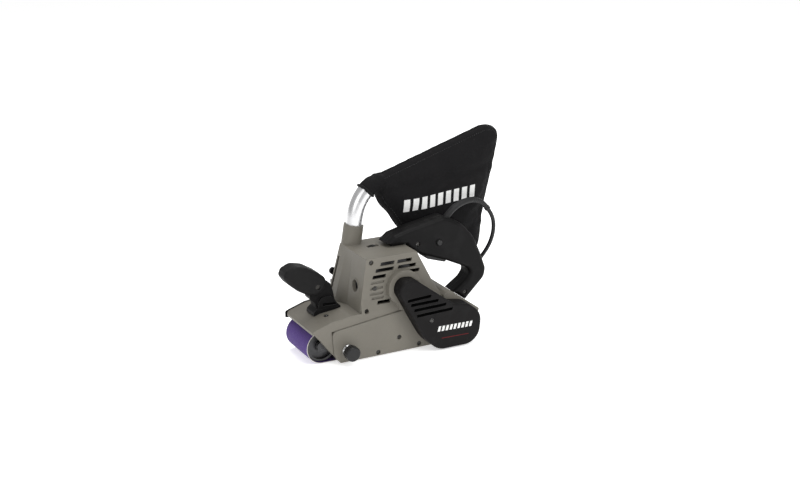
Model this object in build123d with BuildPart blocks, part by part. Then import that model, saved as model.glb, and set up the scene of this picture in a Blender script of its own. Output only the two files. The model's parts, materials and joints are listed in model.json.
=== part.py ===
from build123d import *

import os
from math import cos, pi, radians, sin, tan

# Handheld belt sander, all sizes in millimetres.
# +X points to the rear handle, -Y to the drive side (the operator's left), +Z up.
# The origin is on the underside of the sanding belt, midway between the roller axles.
# Distances called "near" are measured from the centre plane towards the drive side, along -Y.

os.makedirs("parts", exist_ok=True)

# ---------------------------------------------------------------- driving dimensions

# Sanding belt and rollers
belt_width = 76.2
belt_length = 533.4
belt_thick = 1.0
roller_r = 24.0
belt_gap = 0.3
belt_inner_r = roller_r + belt_gap
belt_outer_r = belt_inner_r + belt_thick
axle_gap = (belt_length - 2 * pi * (belt_inner_r + belt_thick / 2)) / 2
axle_z = belt_outer_r
front_x = -axle_gap / 2
drive_x = axle_gap / 2

# Motor, gear pair and belt drive
gear_module = 1.5
pinion_teeth = 9
gear_teeth = 27
motor_x = 0.0
motor_z = 107.0
gear_centres = gear_module * (pinion_teeth + gear_teeth) / 2
gear_angle = -6.0
counter_x = motor_x + gear_centres * cos(radians(gear_angle))
counter_z = motor_z + gear_centres * sin(radians(gear_angle))
small_pulley_r = 7.5
large_pulley_r = 19.0
drive_belt_thick = 1.6
pulley_near = 60.0
pulley_wide = 11.0

# Housings
deck_z = 72.0
deck_under = 53.0
housing_top = 153.5
split_near = 6.0
side_near = 50.0
panel_near = 40.0
skirt_near = 53.0
lower_near = 55.0
far_near = -45.0
wall = 3.0
clear = 0.3

# Drive belt cover
cover_base = 55.4
cover_near = 80.0
cover_wall = 2.2
cover_points = [
    (12, 102), (17, 121.5), (40, 119.5), (104, 72), (131, 67),
    (153, 49), (149, 1.8), (79, 1.8), (57, 21),
]
cover_radii = [14, 14, 12, 12, 20, 25, 26, 28, 60]
cover_screw = (66, 52)

# Rear handle
handle_half = 16.5
handle_round = 6.0
ridge_front = (116, 81)
ridge_rear = (163.5, 46.2)

# Front handle
paddle_half = 15.0
fork_half = 9.0
pivot_x = -89.0
pivot_z = 110.0

# Dust outlet
collar_tilt = 9.2
outlet_y = 34.0
outlet_x = -11.5
outlet_z = 150.0
tube_r = 12.5
tube_wall = 1.3

# Cord
cord_d = 6.5
sleeve_d = 10.5
coil_x = 62.0
coil_y = 152.0
coil_mid_r = 37.0
coil_rows = 3

# Fasteners
screw_head_r = 3.0
screw_shank_r = 1.6
recess_r = 3.8


# ---------------------------------------------------------------- helpers


def save(piece, name):
    """Label a finished piece and write it to its own file."""
    piece.part.label = name
    export_step(piece.part, f"parts/{name}.step")


def rod_y(x, z, radius, near_from, near_to, mode=Mode.ADD):
    """Round rod parallel to the roller axles."""
    with BuildSketch(Plane.XZ.offset(near_from)) as end:
        with Locations((x, z)):
            Circle(radius)
    extrude(end.sketch, amount=near_to - near_from, mode=mode)


def slab_y(points, near_from, near_to, radii=0.0, mode=Mode.ADD):
    """Slab with a side outline of (x, z) points, extruded across the tool."""
    with BuildLine() as edge:
        FilletPolyline(*points, radius=radii, close=True)
    with BuildSketch(Plane.XZ.offset(near_from)) as side:
        make_face(edge.edges())
    extrude(side.sketch, amount=near_to - near_from, mode=mode)


def box_between(low, high, mode=Mode.ADD):
    """Box from its lowest to its highest corner."""
    centre = [(a + b) / 2 for a, b in zip(low, high)]
    size = [b - a for a, b in zip(low, high)]
    with Locations(Location(tuple(centre))):
        Box(*size, mode=mode)


def ring_y(x, z, outer, inner, near_from, near_to):
    """Plain ring, such as a bearing or a washer, round an axis parallel to Y."""
    rod_y(x, z, outer, near_from, near_to)
    rod_y(x, z, inner, near_from, near_to, mode=Mode.SUBTRACT)


def ball_bearing(x, z, outer, inner, near_from, near_to):
    """Shielded ball bearing: a ring with a shallow groove on each face."""
    ring_y(x, z, outer, inner, near_from, near_to)
    groove_out = inner + 0.75 * (outer - inner)
    groove_in = inner + 0.3 * (outer - inner)
    for start, end in ((near_from, near_from + 0.5), (near_to - 0.5, near_to)):
        with BuildSketch(Plane.XZ.offset(start)) as groove:
            with Locations((x, z)):
                Circle(groove_out)
                Circle(groove_in, mode=Mode.SUBTRACT)
        extrude(groove.sketch, amount=end - start, mode=Mode.SUBTRACT)


def side_screw(x, z, face_near, length):
    """Pan-head cross-recess screw sunk into a face that looks to the drive side."""
    head_seat = face_near - 4.0
    rod_y(x, z, screw_head_r, head_seat, head_seat + 2.2)
    rod_y(x, z, screw_shank_r, head_seat - length, head_seat)
    for turn in (0, 90):
        with BuildSketch(Plane.XZ.offset(head_seat + 1.2)) as cross:
            with Locations(Location((x, z), turn + 20)):
                Rectangle(3.6, 0.8)
        extrude(cross.sketch, amount=1.0, mode=Mode.SUBTRACT)


def side_screw_hole(x, z, face_near, length):
    """Recess and shank hole for side_screw."""
    head_seat = face_near - 4.0
    rod_y(x, z, recess_r, head_seat, face_near + 1, mode=Mode.SUBTRACT)
    rod_y(x, z, screw_shank_r + 0.1, head_seat - length, head_seat, mode=Mode.SUBTRACT)


def gear_outline(teeth, module, phase=0.0):
    """Spur gear outline with straight-sided, slightly thinned teeth."""
    pitch = module * teeth / 2
    tip = pitch + 0.8 * module
    root = pitch - 1.15 * module
    step = 360 / teeth
    points = []
    for tooth in range(teeth):
        middle = phase + tooth * step
        for radius, share in ((root, -0.33), (tip, -0.1), (tip, 0.1), (root, 0.33)):
            angle = radians(middle + share * step)
            points.append((radius * cos(angle), radius * sin(angle)))
    return points


def spur_gear(x, z, teeth, near_from, near_to, phase=0.0):
    """Solid spur gear round an axis parallel to Y."""
    points = [(x + u, z + v) for u, v in gear_outline(teeth, gear_module, phase)]
    slab_y(points, near_from, near_to)


def ribbed_pulley(x, z, radius, near_from, near_to):
    """Flanged pulley with four shallow round-the-rim grooves."""
    rod_y(x, z, radius + 1.2, near_from, near_from + 1.0)
    rod_y(x, z, radius, near_from + 1.0, near_to - 1.0)
    rod_y(x, z, radius + 1.2, near_to - 1.0, near_to)
    step = (near_to - near_from - 2.0) / 5
    for groove in range(4):
        start = near_from + 1.0 + step * (groove + 0.75)
        with BuildSketch(Plane.XZ.offset(start)) as cut:
            with Locations((x, z)):
                Circle(radius + 1)
                Circle(radius - 0.8, mode=Mode.SUBTRACT)
        extrude(cut.sketch, amount=step / 2, mode=Mode.SUBTRACT)


# ---------------------------------------------------------------- sanding belt and rollers

with BuildPart() as sanding_belt:
    with BuildSketch(Plane.XZ.offset(-belt_width / 2)):
        with Locations((0, axle_z)):
            SlotCenterToCenter(axle_gap, 2 * belt_outer_r)
            SlotCenterToCenter(axle_gap, 2 * belt_inner_r, mode=Mode.SUBTRACT)
    extrude(amount=belt_width)
save(sanding_belt, "sanding_belt")

front_roller_half = 34.6
crown = 0.8
front_axle_r = 4.0
running_fit = 0.05

with BuildPart() as front_roller:
    with BuildSketch(Plane.XY.offset(axle_z)):
        with BuildLine():
            rim = ThreePointArc(
                (front_x + roller_r - crown, -front_roller_half),
                (front_x + roller_r, 0),
                (front_x + roller_r - crown, front_roller_half),
            )
            Polyline(
                rim @ 1,
                (front_x + front_axle_r + running_fit, front_roller_half),
                (front_x + front_axle_r + running_fit, -front_roller_half),
                rim @ 0,
            )
        make_face()
    revolve(axis=Axis((front_x, 0, axle_z), (0, 1, 0)))
    for start in (-front_roller_half, front_roller_half - 5):
        with BuildSketch(Plane.XZ.offset(start)):
            with Locations((front_x, axle_z)):
                Circle(20)
                Circle(9, mode=Mode.SUBTRACT)
        extrude(amount=5, mode=Mode.SUBTRACT)
save(front_roller, "front_roller")

arm_inner = 35.6
arm_outer = 38.0
yoke_pivot_x = -60.0
arm_low = axle_z - 8
arm_high = axle_z + 8
bar_front = front_x + roller_r + 2.4
bar_rear = bar_front + 4.0

with BuildPart() as front_axle:
    rod_y(front_x, axle_z, front_axle_r, -arm_outer, arm_outer)
save(front_axle, "front_axle")

with BuildPart() as roller_yoke:
    for near_from in (-arm_outer, arm_inner):
        slab_y(
            [(front_x - 8, arm_low), (bar_rear, arm_low), (bar_rear, arm_high), (front_x - 8, arm_high)],
            near_from,
            near_from + arm_outer - arm_inner,
            radii=[7, 1, 1, 7],
        )
    box_between((bar_front, -arm_outer, arm_low), (bar_rear, arm_outer, arm_high))
    box_between((bar_rear, -6, axle_z - 3.5), (yoke_pivot_x + 5, 6, axle_z + 3.5))
    with Locations(Location((yoke_pivot_x, 0, axle_z))):
        Cylinder(3.05, 20, mode=Mode.SUBTRACT)
    rod_y(front_x, axle_z, front_axle_r + 0.01, -arm_outer, arm_outer, mode=Mode.SUBTRACT)
save(roller_yoke, "roller_yoke")

ear_front = yoke_pivot_x - 3.0
plate_front = yoke_pivot_x + 6.0
stem_front = plate_front + 3.0
stem_rear = -18.0
stem_half = 8.0
box_front = -43.0

with BuildPart() as tension_carriage:
    for low in (axle_z - 9.0, axle_z + 4.0):
        box_between((ear_front, -7, low), (plate_front, 7, low + 5))
    box_between((plate_front, -14, axle_z - 9), (stem_front, 14, axle_z + 9))
    box_between((stem_front, -stem_half, axle_z - 7.5), (stem_rear, stem_half, axle_z + 7.5))
    with Locations(Location((yoke_pivot_x, 0, axle_z))):
        Cylinder(3.01, 30, mode=Mode.SUBTRACT)
save(tension_carriage, "tension_carriage")

with BuildPart() as yoke_pivot_pin:
    with Locations(Location((yoke_pivot_x, 0, axle_z))):
        Cylinder(3.0, 18)
save(yoke_pivot_pin, "yoke_pivot_pin")

spring_len = 24.0
spring_r = 5.5
spring_wire = 0.8
spring_pitch = 4.0

with BuildPart() as tension_spring:
    spring_start = (stem_rear + spring_wire + clear, 0, axle_z)
    with BuildLine() as coils:
        Helix(spring_pitch, spring_len, spring_r, center=spring_start, direction=(1, 0, 0))
    with BuildSketch(Plane(origin=coils.line @ 0, z_dir=coils.line % 0)):
        Circle(spring_wire)
    sweep(path=coils.line)
save(tension_spring, "tension_spring")

drive_roller_half = 36.0
shaft_r = 5.0
tyre_thick = 3.0

with BuildPart() as drive_roller:
    ring_y(drive_x, axle_z, roller_r - tyre_thick, shaft_r, -drive_roller_half, drive_roller_half)
    with BuildSketch(Plane.XZ.offset(-drive_roller_half)):
        with Locations((drive_x, axle_z)):
            Circle(17)
            Circle(9, mode=Mode.SUBTRACT)
    extrude(amount=6, mode=Mode.SUBTRACT)
save(drive_roller, "drive_roller")

with BuildPart() as drive_roller_sleeve:
    ring_y(drive_x, axle_z, roller_r, roller_r - tyre_thick, -drive_roller_half, drive_roller_half)
    groove_count = 24
    for groove in range(groove_count):
        angle = 2 * pi * groove / groove_count
        rod_y(
            drive_x + roller_r * cos(angle),
            axle_z + roller_r * sin(angle),
            0.9,
            -drive_roller_half,
            drive_roller_half,
            mode=Mode.SUBTRACT,
        )
save(drive_roller_sleeve, "drive_roller_sleeve")

with BuildPart() as drive_shaft:
    rod_y(drive_x, axle_z, shaft_r, -drive_roller_half - 2, pulley_near + pulley_wide + 1)
save(drive_shaft, "drive_shaft")

with BuildPart() as driven_pulley:
    ribbed_pulley(drive_x, axle_z, large_pulley_r, pulley_near, pulley_near + pulley_wide)
    rod_y(drive_x, axle_z, shaft_r, pulley_near, pulley_near + pulley_wide, mode=Mode.SUBTRACT)
    with BuildSketch(Plane.XZ.offset(pulley_near)):
        with Locations((drive_x, axle_z)):
            with PolarLocations(12.5, 5):
                Circle(3.4)
    extrude(amount=pulley_wide, mode=Mode.SUBTRACT)
save(driven_pulley, "driven_pulley")

bearing_r = 13.0
bearing_wide = 7.0
boss_near = 56.0

with BuildPart() as drive_bearings:
    for start in (panel_near + 1, boss_near - bearing_wide):
        ball_bearing(drive_x, axle_z, bearing_r, shaft_r + running_fit, start, start + bearing_wide)
save(drive_bearings, "drive_bearings")

# ---------------------------------------------------------------- base frame and platen

frame_far = -34.0
frame_rear = 62.0
frame_low = 4.2
frame_high = 46.0
knob_x = -61.5
knob_z = 20.5
lower_screws = [(24.3, 24.5), (-11.1, 6.8), (58, 7.8)]
seam_front = (-86.0, 52.0)
seam_rear = (69.0, 71.7)
lever_pin_x = -28.0
lever_pin_near = -31.0

with BuildPart() as base_frame:
    box_between((box_front, -panel_near, frame_low), (frame_rear, -frame_far, frame_high))
    box_between(
        (box_front + 4, frame_far + 4, frame_low + 4),
        (frame_rear - 4, -frame_far + 1, frame_high - 4),
        mode=Mode.SUBTRACT,
    )
    # Guide for the tension carriage, with a closed rear end for its spring
    box_between((box_front, -12, frame_low + 2), (12, 12, frame_high - 2))
    box_between(
        (box_front - 1, -stem_half - clear, axle_z - 7.5 - clear),
        (8, stem_half + clear, axle_z + 7.5 + clear),
        mode=Mode.SUBTRACT,
    )
    # Post for the release lever's pin
    for low, high, radius in ((frame_low + 2, axle_z - 4, 4.5), (axle_z - 4, axle_z + 5, 2.0)):
        with BuildSketch(Plane.XY.offset(low)):
            with Locations((lever_pin_x, -lever_pin_near)):
                Circle(radius)
        extrude(amount=high - low)
    # Lower side panel
    slab_y(
        [seam_front, seam_rear, (100, 71.7), (100, 56), (122, 56), (122, 1.5), (-73, 1.5), (-83, 16)],
        panel_near,
        lower_near,
        radii=[8, 0, 0, 0, 4, 4, 3, 3],
    )
    chamfer(base_frame.faces().sort_by(Axis.Y)[0].edges(), 1.0)
    rod_y(drive_x, axle_z, bearing_r + 3.5, panel_near, boss_near)
    rod_y(drive_x, axle_z, bearing_r, panel_near + 1, boss_near, mode=Mode.SUBTRACT)
    rod_y(drive_x, axle_z, shaft_r + 1, panel_near, panel_near + 2, mode=Mode.SUBTRACT)
    rod_y(knob_x, knob_z, 2.6, panel_near, lower_near, mode=Mode.SUBTRACT)
    for x, z in lower_screws:
        side_screw_hole(x, z, lower_near, 3)
save(base_frame, "base_frame")

with BuildPart() as platen_shoe:
    box_between((-66, -36, 2.9), (66, 36, 3.9))
save(platen_shoe, "platen_shoe")

with BuildPart() as platen_pad:
    box_between((-64, -36, 1.3), (64, 36, 2.9))
save(platen_pad, "platen_pad")

# ---------------------------------------------------------------- belt release lever, tracking knob

with BuildPart() as belt_release_lever:
    with BuildSketch(Plane.XY.offset(axle_z - 3.5)):
        with Locations((lever_pin_x, -lever_pin_near)):
            Circle(4.5)
        with BuildLine():
            Polyline(
                (lever_pin_x - 2, 27.5),
                (lever_pin_x, 35.5),
                (34, 39),
                (38, 41.5),
                (38, 44.5),
                (33, 42.5),
                (lever_pin_x - 2, 39),
                close=True,
            )
        make_face()
    extrude(amount=7)
    with BuildSketch(Plane.XY.offset(axle_z - 4)):
        with Locations((lever_pin_x, -lever_pin_near)):
            Circle(2.05)
    extrude(amount=9, mode=Mode.SUBTRACT)
save(belt_release_lever, "belt_release_lever")

knob_r = 11.5
knob_base = 64.0
knob_long = 12.0

with BuildPart() as tracking_knob:
    rod_y(knob_x, knob_z, knob_r, knob_base, knob_base + knob_long)
    fillet(tracking_knob.faces().sort_by(Axis.Y)[0].edges(), 2.5)
    with BuildSketch(Plane.XZ.offset(knob_base)):
        with Locations((knob_x, knob_z)):
            with PolarLocations(knob_r + 0.8, 16):
                Circle(1.5)
    extrude(amount=knob_long, mode=Mode.SUBTRACT)
    rod_y(knob_x, knob_z, 2.5, knob_base, knob_base + 8, mode=Mode.SUBTRACT)
save(tracking_knob, "tracking_knob")

with BuildPart() as tracking_screw:
    rod_y(knob_x, knob_z, 2.5, arm_outer + 1.6, knob_base + 8)
save(tracking_screw, "tracking_screw")

with BuildPart() as knob_spring_ring:
    ring_y(knob_x, knob_z, 9.5, 6.5, lower_near + 0.3, lower_near + 2.6)
    ring_y(knob_x, knob_z, 8.3, 6.2, lower_near + 2.6, knob_base - 0.3)
save(knob_spring_ring, "knob_spring_ring")

# ---------------------------------------------------------------- main housing

deck_profile = [
    (-117, deck_under), (-117, 56.5), (-112, 59), (-86, 67.5), (-60, 70.5), (-54, deck_z),
    (100, deck_z), (100, deck_under),
]
deck_hollow = [(-112, 50), (-112, 54.5), (-86, 62.5), (-60, 65.5), (-54, 67), (96, 67), (96, 50)]
near_profile = [
    (-39, deck_z), (-27.5, housing_top), (56, housing_top), (84, 101), (100, 78), (100, deck_z),
]
near_hollow = [
    (-35, deck_z + wall), (-25, housing_top - wall), (54, housing_top - wall), (80, 101), (94, 80),
    (94, deck_z + wall),
]
far_profile = [
    (-49, deck_z), (-27, housing_top), (56, housing_top), (84, 101), (100, 78), (100, deck_z),
]
far_hollow = [
    (-45.2, deck_z + wall), (-24, housing_top - wall), (54, housing_top - wall), (80, 101), (94, 80),
    (94, deck_z + wall),
]
blend_near = -16.0

# Side vents: x from, x to, z of each slot in the drive side's face
vent_height = 5.6
vent_slots = [
    (-5, 18, 142.5), (23, 47, 142.5),
    (-13, 17, 133.5), (24, 54, 133.5),
    (-18, 4, 124.0), (41, 60, 124.5),
]
low_vent = (-11, 11, 84.0)
blind_grooves = [(-21, 1, 115.5), (-22, -1, 107.0), (-22, -1, 98.5), (-20, 0, 91.5)]
case_screws = [(-19.5, 147.5), (-28.5, 74)]
groove_screw = (-13.5, 107)
brush_near = 25.0
fender_r = 26.5
fender_x = 31.0
fender_z = 104.0
fender_near = 60.0
deck_screw_x = -82.0
deck_screw_near = 25.0
deck_screw_seat = 66.6
dial_x = 10.0
dial_near = -4.0
dial_r = 10.0
dial_half = 3.5
dial_z = housing_top + 1.2 - dial_r


def vent(x_from, x_to, z, near_from, near_to, height=vent_height):
    """Slanted slot cut through a side wall."""
    lean = 1.6
    slab_y(
        [
            (x_from, z - height / 2),
            (x_to, z - height / 2),
            (x_to + lean, z + height / 2),
            (x_from + lean, z + height / 2),
        ],
        near_from,
        near_to,
        radii=0.9,
        mode=Mode.SUBTRACT,
    )


with BuildPart() as main_housing:
    slab_y(deck_profile, far_near + 2, panel_near - clear)
    fillet(main_housing.edges().filter_by(Axis.Z).group_by(Axis.X)[0].sort_by(Axis.Y)[-1], 7)
    slab_y(deck_hollow, far_near + 6, panel_near - 4, mode=Mode.SUBTRACT)
    # Front skirt beside the roller and the strip above the seam
    slab_y(
        [*deck_profile[:6], (seam_rear[0], deck_z), (seam_front[0] - 0.3, 52.4), (-83.4, 16.2),
         (-85, 16.4), (-113, deck_under)],
        panel_near - clear,
        skirt_near,
    )
    slab_y(near_profile, split_near, side_near)
    # Flare of the side wall down to the skirt
    with BuildSketch(Plane.YZ.offset(-37)):
        with BuildLine():
            Polyline(
                (1 - side_near, deck_z),
                (-skirt_near, deck_z),
                (-side_near, deck_z + 18),
                (1 - side_near, deck_z + 18),
                close=True,
            )
        make_face()
    extrude(amount=seam_rear[0] + 37)
    slab_y(near_hollow, split_near, side_near - wall, mode=Mode.SUBTRACT)
    # Pedestal of the drive cover, and the shroud round the cover's small end
    with BuildLine() as lobe:
        FilletPolyline(*cover_points, radius=cover_radii, close=True)
    with BuildSketch(Plane.XZ.offset(side_near - 1)):
        with BuildLine():
            Polyline(*near_profile, close=True)
        make_face()
        make_face(lobe.edges(), mode=Mode.INTERSECT)
    extrude(amount=cover_base - 0.4 - side_near + 1)
    rod_y(fender_x, fender_z, fender_r, side_near - 1, fender_near)
    slab_y([(4.5, 104), (24, 69), (44, 69), (32, 104)], side_near - 1, fender_near, radii=[2, 5, 5, 2])
    with BuildSketch(Plane.XZ.offset(cover_base - 0.4)):
        make_face(lobe.edges())
        offset(amount=0.5)
    extrude(amount=20, mode=Mode.SUBTRACT)
    # Bearing seat of the countershaft
    rod_y(counter_x, counter_z, 14, side_near - wall - 3, 55)
    rod_y(counter_x, counter_z, 11, side_near - wall - 3, 54, mode=Mode.SUBTRACT)
    rod_y(counter_x, counter_z, 6, 53, 56, mode=Mode.SUBTRACT)
    for x_from, x_to, z in vent_slots:
        vent(x_from, x_to, z, side_near - wall - 1, side_near + 1)
    vent(*low_vent, side_near - wall - 1, skirt_near)
    for x_from, x_to, z in blind_grooves:
        vent(x_from, x_to, z, side_near - 2.0, side_near + 1, height=4.0)
    for x, z in case_screws:
        rod_y(x, z, recess_r + 1.6, split_near + 12, side_near - 1)
        side_screw_hole(x, z, side_near, 6)
        rod_y(x, z, recess_r, side_near, skirt_near, mode=Mode.SUBTRACT)
    rod_y(*groove_screw, 3.4, side_near - 6, side_near - 1)
    side_screw_hole(*groove_screw, side_near + 1.6, 2)
    # Boss and recess of the front brush
    for start, radius, length, mode in (
        (-34, 10.5, 10.5, Mode.ADD),
        (-50, 9.2, 23, Mode.SUBTRACT),
        (-27, 5.1, 5, Mode.SUBTRACT),
    ):
        with BuildSketch(Plane(origin=(start, -brush_near, motor_z), z_dir=(1, 0, 0))):
            Circle(radius)
        extrude(amount=length, mode=mode)
    # Deck screw recess
    with Locations(Location((deck_screw_x, -deck_screw_near, deck_screw_seat + 4))):
        Cylinder(recess_r, 8, mode=Mode.SUBTRACT)
    with Locations(Location((deck_screw_x, -deck_screw_near, deck_screw_seat - 2))):
        Cylinder(screw_shank_r + 0.1, 5, mode=Mode.SUBTRACT)
save(main_housing, "main_housing")

# ---------------------------------------------------------------- fan housing with dust collar

collar_dir = Vector(sin(radians(collar_tilt)), 0, cos(radians(collar_tilt)))
collar_low = Vector(outlet_x, outlet_y, outlet_z) - 12 * collar_dir
collar_top = Vector(outlet_x, outlet_y, outlet_z) + 32 * collar_dir
collar_r = 15.3

with BuildPart() as fan_housing:
    for near_at, points in ((split_near, near_profile), (blend_near, far_profile)):
        with BuildSketch(Plane.XZ.offset(near_at)):
            with BuildLine():
                Polyline(*points, close=True)
            make_face()
    loft(ruled=True)
    slab_y(far_profile, far_near, blend_near)
    far_edges = fan_housing.faces().sort_by(Axis.Y)[-1].edges()
    fillet(far_edges.filter_by(lambda edge: edge.center().Z > deck_z + 1), 7)
    with BuildSketch(Plane(origin=collar_low, z_dir=collar_dir)):
        Circle(collar_r)
    extrude(amount=44)
    for near_at, points in ((split_near, near_hollow), (blend_near, far_hollow)):
        with BuildSketch(Plane.XZ.offset(near_at)):
            with BuildLine():
                Polyline(*points, close=True)
            make_face()
    loft(ruled=True, mode=Mode.SUBTRACT)
    slab_y(far_hollow, far_near + wall, blend_near, mode=Mode.SUBTRACT)
    with BuildSketch(Plane(origin=collar_low, z_dir=collar_dir)):
        Circle(tube_r + running_fit)
    extrude(amount=45, mode=Mode.SUBTRACT)
    # Tall slot in the front of the dust column
    slab_y([(-60, 85), (-60, 135), (-24, 135), (-24, 85)], -36.5, -31.5, mode=Mode.SUBTRACT)
    # Speed dial slot
    box_between(
        (dial_x - 9.5, -dial_near - dial_half - 0.4, housing_top - wall - 1),
        (dial_x + 9.5, -dial_near + dial_half + 0.4, housing_top + 1),
        mode=Mode.SUBTRACT,
    )
    # Seat of the far motor bearing
    rod_y(motor_x, motor_z, 11, -43, -38)
    rod_y(motor_x, motor_z, 8, -42, -38, mode=Mode.SUBTRACT)
save(fan_housing, "fan_housing")

with BuildPart() as speed_dial:
    rod_y(dial_x, dial_z, dial_r, dial_near - dial_half, dial_near + dial_half)
    with BuildSketch(Plane.XZ.offset(dial_near - dial_half)):
        with Locations((dial_x, dial_z)):
            with PolarLocations(dial_r, 24):
                Circle(0.6)
    extrude(amount=2 * dial_half, mode=Mode.SUBTRACT)
    rod_y(dial_x, dial_z, 2.05, dial_near - dial_half, dial_near + dial_half, mode=Mode.SUBTRACT)
save(speed_dial, "speed_dial")

with BuildPart() as speed_control:
    rod_y(dial_x, dial_z, 2.0, dial_near - 8, dial_near + dial_half + 1)
    box_between((dial_x - 9, -dial_near + 7, dial_z - 8), (dial_x + 9, -dial_near + 15, dial_z + 5))
save(speed_control, "speed_control")

with BuildPart() as fan_case_knob:
    with BuildSketch(Plane.XZ.offset(far_near - 0.2)):
        with Locations((-36, 108)):
            Circle(5.5)
    extrude(amount=-6)
    fillet(fan_case_knob.faces().sort_by(Axis.Y)[-1].edges(), 1.5)
save(fan_case_knob, "fan_case_knob")

with BuildPart() as side_trim:
    slab_y(
        [(-117.5, 48), (-117.5, 57.5), (-112.2, 60), (-86, 68.6), (-60, 71.6), (-53, 73), (-53, 64),
         (-86, 60), (-106, 52), (-110, 48)],
        far_near,
        far_near + 1.8,
        radii=[1, 3, 3, 3, 0, 0, 0, 3, 3, 1],
    )
save(side_trim, "side_trim")

# ---------------------------------------------------------------- rear hood

hood_profile = [
    (100.3, 56.3), (100.3, 78), (105, 82.5), ridge_front, ridge_rear, (160, 38), (145, 7), (124, 4),
    (122.4, 8), (122.4, 56.3),
]
hood_hollow = [
    (103.5, 59.5), (103.5, 77), (106, 78.6), (115, 77), (158.8, 44.6), (142.3, 10.5), (126, 7.5),
    (125.5, 59.5),
]

with BuildPart() as rear_hood:
    slab_y(hood_profile, far_near + 2, lower_near, radii=[0, 0, 3, 6, 3, 4, 4, 1.5, 1.5, 0])
    rod_y(drive_x, axle_z, 28.3, far_near + 1, panel_near, mode=Mode.SUBTRACT)
    slab_y(hood_hollow, far_near + 5, lower_near - 3, radii=0, mode=Mode.SUBTRACT)
save(rear_hood, "rear_hood")

# ---------------------------------------------------------------- drive cover, pulleys and belt

with BuildPart() as drive_belt_cover:
    with BuildLine() as rim:
        FilletPolyline(*cover_points, radius=cover_radii, close=True)
    with BuildSketch(Plane.XZ.offset(cover_base)):
        make_face(rim.edges())
    extrude(amount=cover_near - cover_base)
    fillet(drive_belt_cover.faces().sort_by(Axis.Y)[0].edges(), 3)
    with BuildSketch(Plane.XZ.offset(cover_base)):
        make_face(rim.edges())
        offset(amount=-cover_wall)
    extrude(amount=cover_near - cover_base - cover_wall, mode=Mode.SUBTRACT)
    slot_rows = [
        (24.5, 89.4, 64, 91.5), (30, 82, 76.5, 82.5), (35.5, 73, 89.5, 74), (40, 63.2, 101, 65),
    ]
    for x_from, z_from, x_to, z_to in slot_rows:
        slab_y(
            [(x_from, z_from - 2.5), (x_to, z_to - 2.5), (x_to + 2, z_to + 2.5), (x_from + 1, z_from + 2.5)],
            cover_near - cover_wall - 1,
            cover_near + 1,
            radii=1.2,
            mode=Mode.SUBTRACT,
        )
    side_screw_hole(*cover_screw, cover_near + 2, 6)
save(drive_belt_cover, "drive_belt_cover")

with BuildPart() as drive_belt:
    belt_near = pulley_near + 1.3
    belt_wide = pulley_wide - 2.6
    for swell, mode in ((drive_belt_thick, Mode.ADD), (0, Mode.SUBTRACT)):
        small = small_pulley_r + clear + swell
        large = large_pulley_r + clear + swell
        with BuildSketch(Plane.XZ.offset(belt_near)):
            with Locations((counter_x, counter_z)):
                Circle(small)
            with Locations((drive_x, axle_z)):
                Circle(large)
            make_hull()
        extrude(amount=belt_wide, mode=mode)
save(drive_belt, "drive_belt")

# ---------------------------------------------------------------- motor and gears

with BuildPart() as motor_pulley:
    ribbed_pulley(counter_x, counter_z, small_pulley_r, pulley_near, pulley_near + pulley_wide)
    rod_y(counter_x, counter_z, 4, pulley_near, pulley_near + pulley_wide, mode=Mode.SUBTRACT)
save(motor_pulley, "motor_pulley")

with BuildPart() as countershaft:
    rod_y(counter_x, counter_z, 4, 30.8, pulley_near + pulley_wide + 1)
save(countershaft, "countershaft")

with BuildPart() as reduction_gear:
    spur_gear(counter_x, counter_z, gear_teeth, 37, 43, phase=gear_angle)
    rod_y(counter_x, counter_z, 4, 37, 43, mode=Mode.SUBTRACT)
save(reduction_gear, "reduction_gear")

with BuildPart() as armature_shaft:
    rod_y(motor_x, motor_z, 4, -41.5, 36.5)
    spur_gear(motor_x, motor_z, pinion_teeth, 36.5, 43.5, phase=gear_angle)
save(armature_shaft, "armature_shaft")

with BuildPart() as armature_core:
    ring_y(motor_x, motor_z, 15.5, 4, -13, 13)
    with BuildSketch(Plane.XZ.offset(-13)):
        with Locations((motor_x, motor_z)):
            with PolarLocations(14.5, 12):
                Rectangle(4, 1.6)
    extrude(amount=26, mode=Mode.SUBTRACT)
save(armature_core, "armature_core")

with BuildPart() as armature_windings:
    ring_y(motor_x, motor_z, 12.5, 4, 13, 19)
    ring_y(motor_x, motor_z, 12.5, 4, -19, -13)
save(armature_windings, "armature_windings")

with BuildPart() as commutator:
    ring_y(motor_x, motor_z, 10, 4, 20, 30)
    with BuildSketch(Plane.XZ.offset(20)):
        with Locations((motor_x, motor_z)):
            with PolarLocations(9.6, 24):
                Rectangle(1.4, 0.4)
    extrude(amount=10, mode=Mode.SUBTRACT)
save(commutator, "commutator")

with BuildPart() as dust_fan:
    rod_y(motor_x, motor_z, 29, -37, -35.5)
    rod_y(motor_x, motor_z, 7.5, -35.5, -25)
    with BuildSketch(Plane.XZ.offset(-35.5)):
        with Locations((motor_x, motor_z)):
            with PolarLocations(17.5, 10):
                Rectangle(22, 1.4, rotation=25)
    extrude(amount=9)
    rod_y(motor_x, motor_z, 4, -37, -25, mode=Mode.SUBTRACT)
save(dust_fan, "dust_fan")

with BuildPart() as motor_bearings:
    ball_bearing(motor_x, motor_z, 8, 4 + running_fit, 31, 35)
    ball_bearing(motor_x, motor_z, 8, 4 + running_fit, -42, -38)
    ball_bearing(counter_x, counter_z, 8, 4 + running_fit, 30.5, 34.5)
    ball_bearing(counter_x, counter_z, 11, 4 + running_fit, 46.5, 53)
save(motor_bearings, "motor_bearings")

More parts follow.
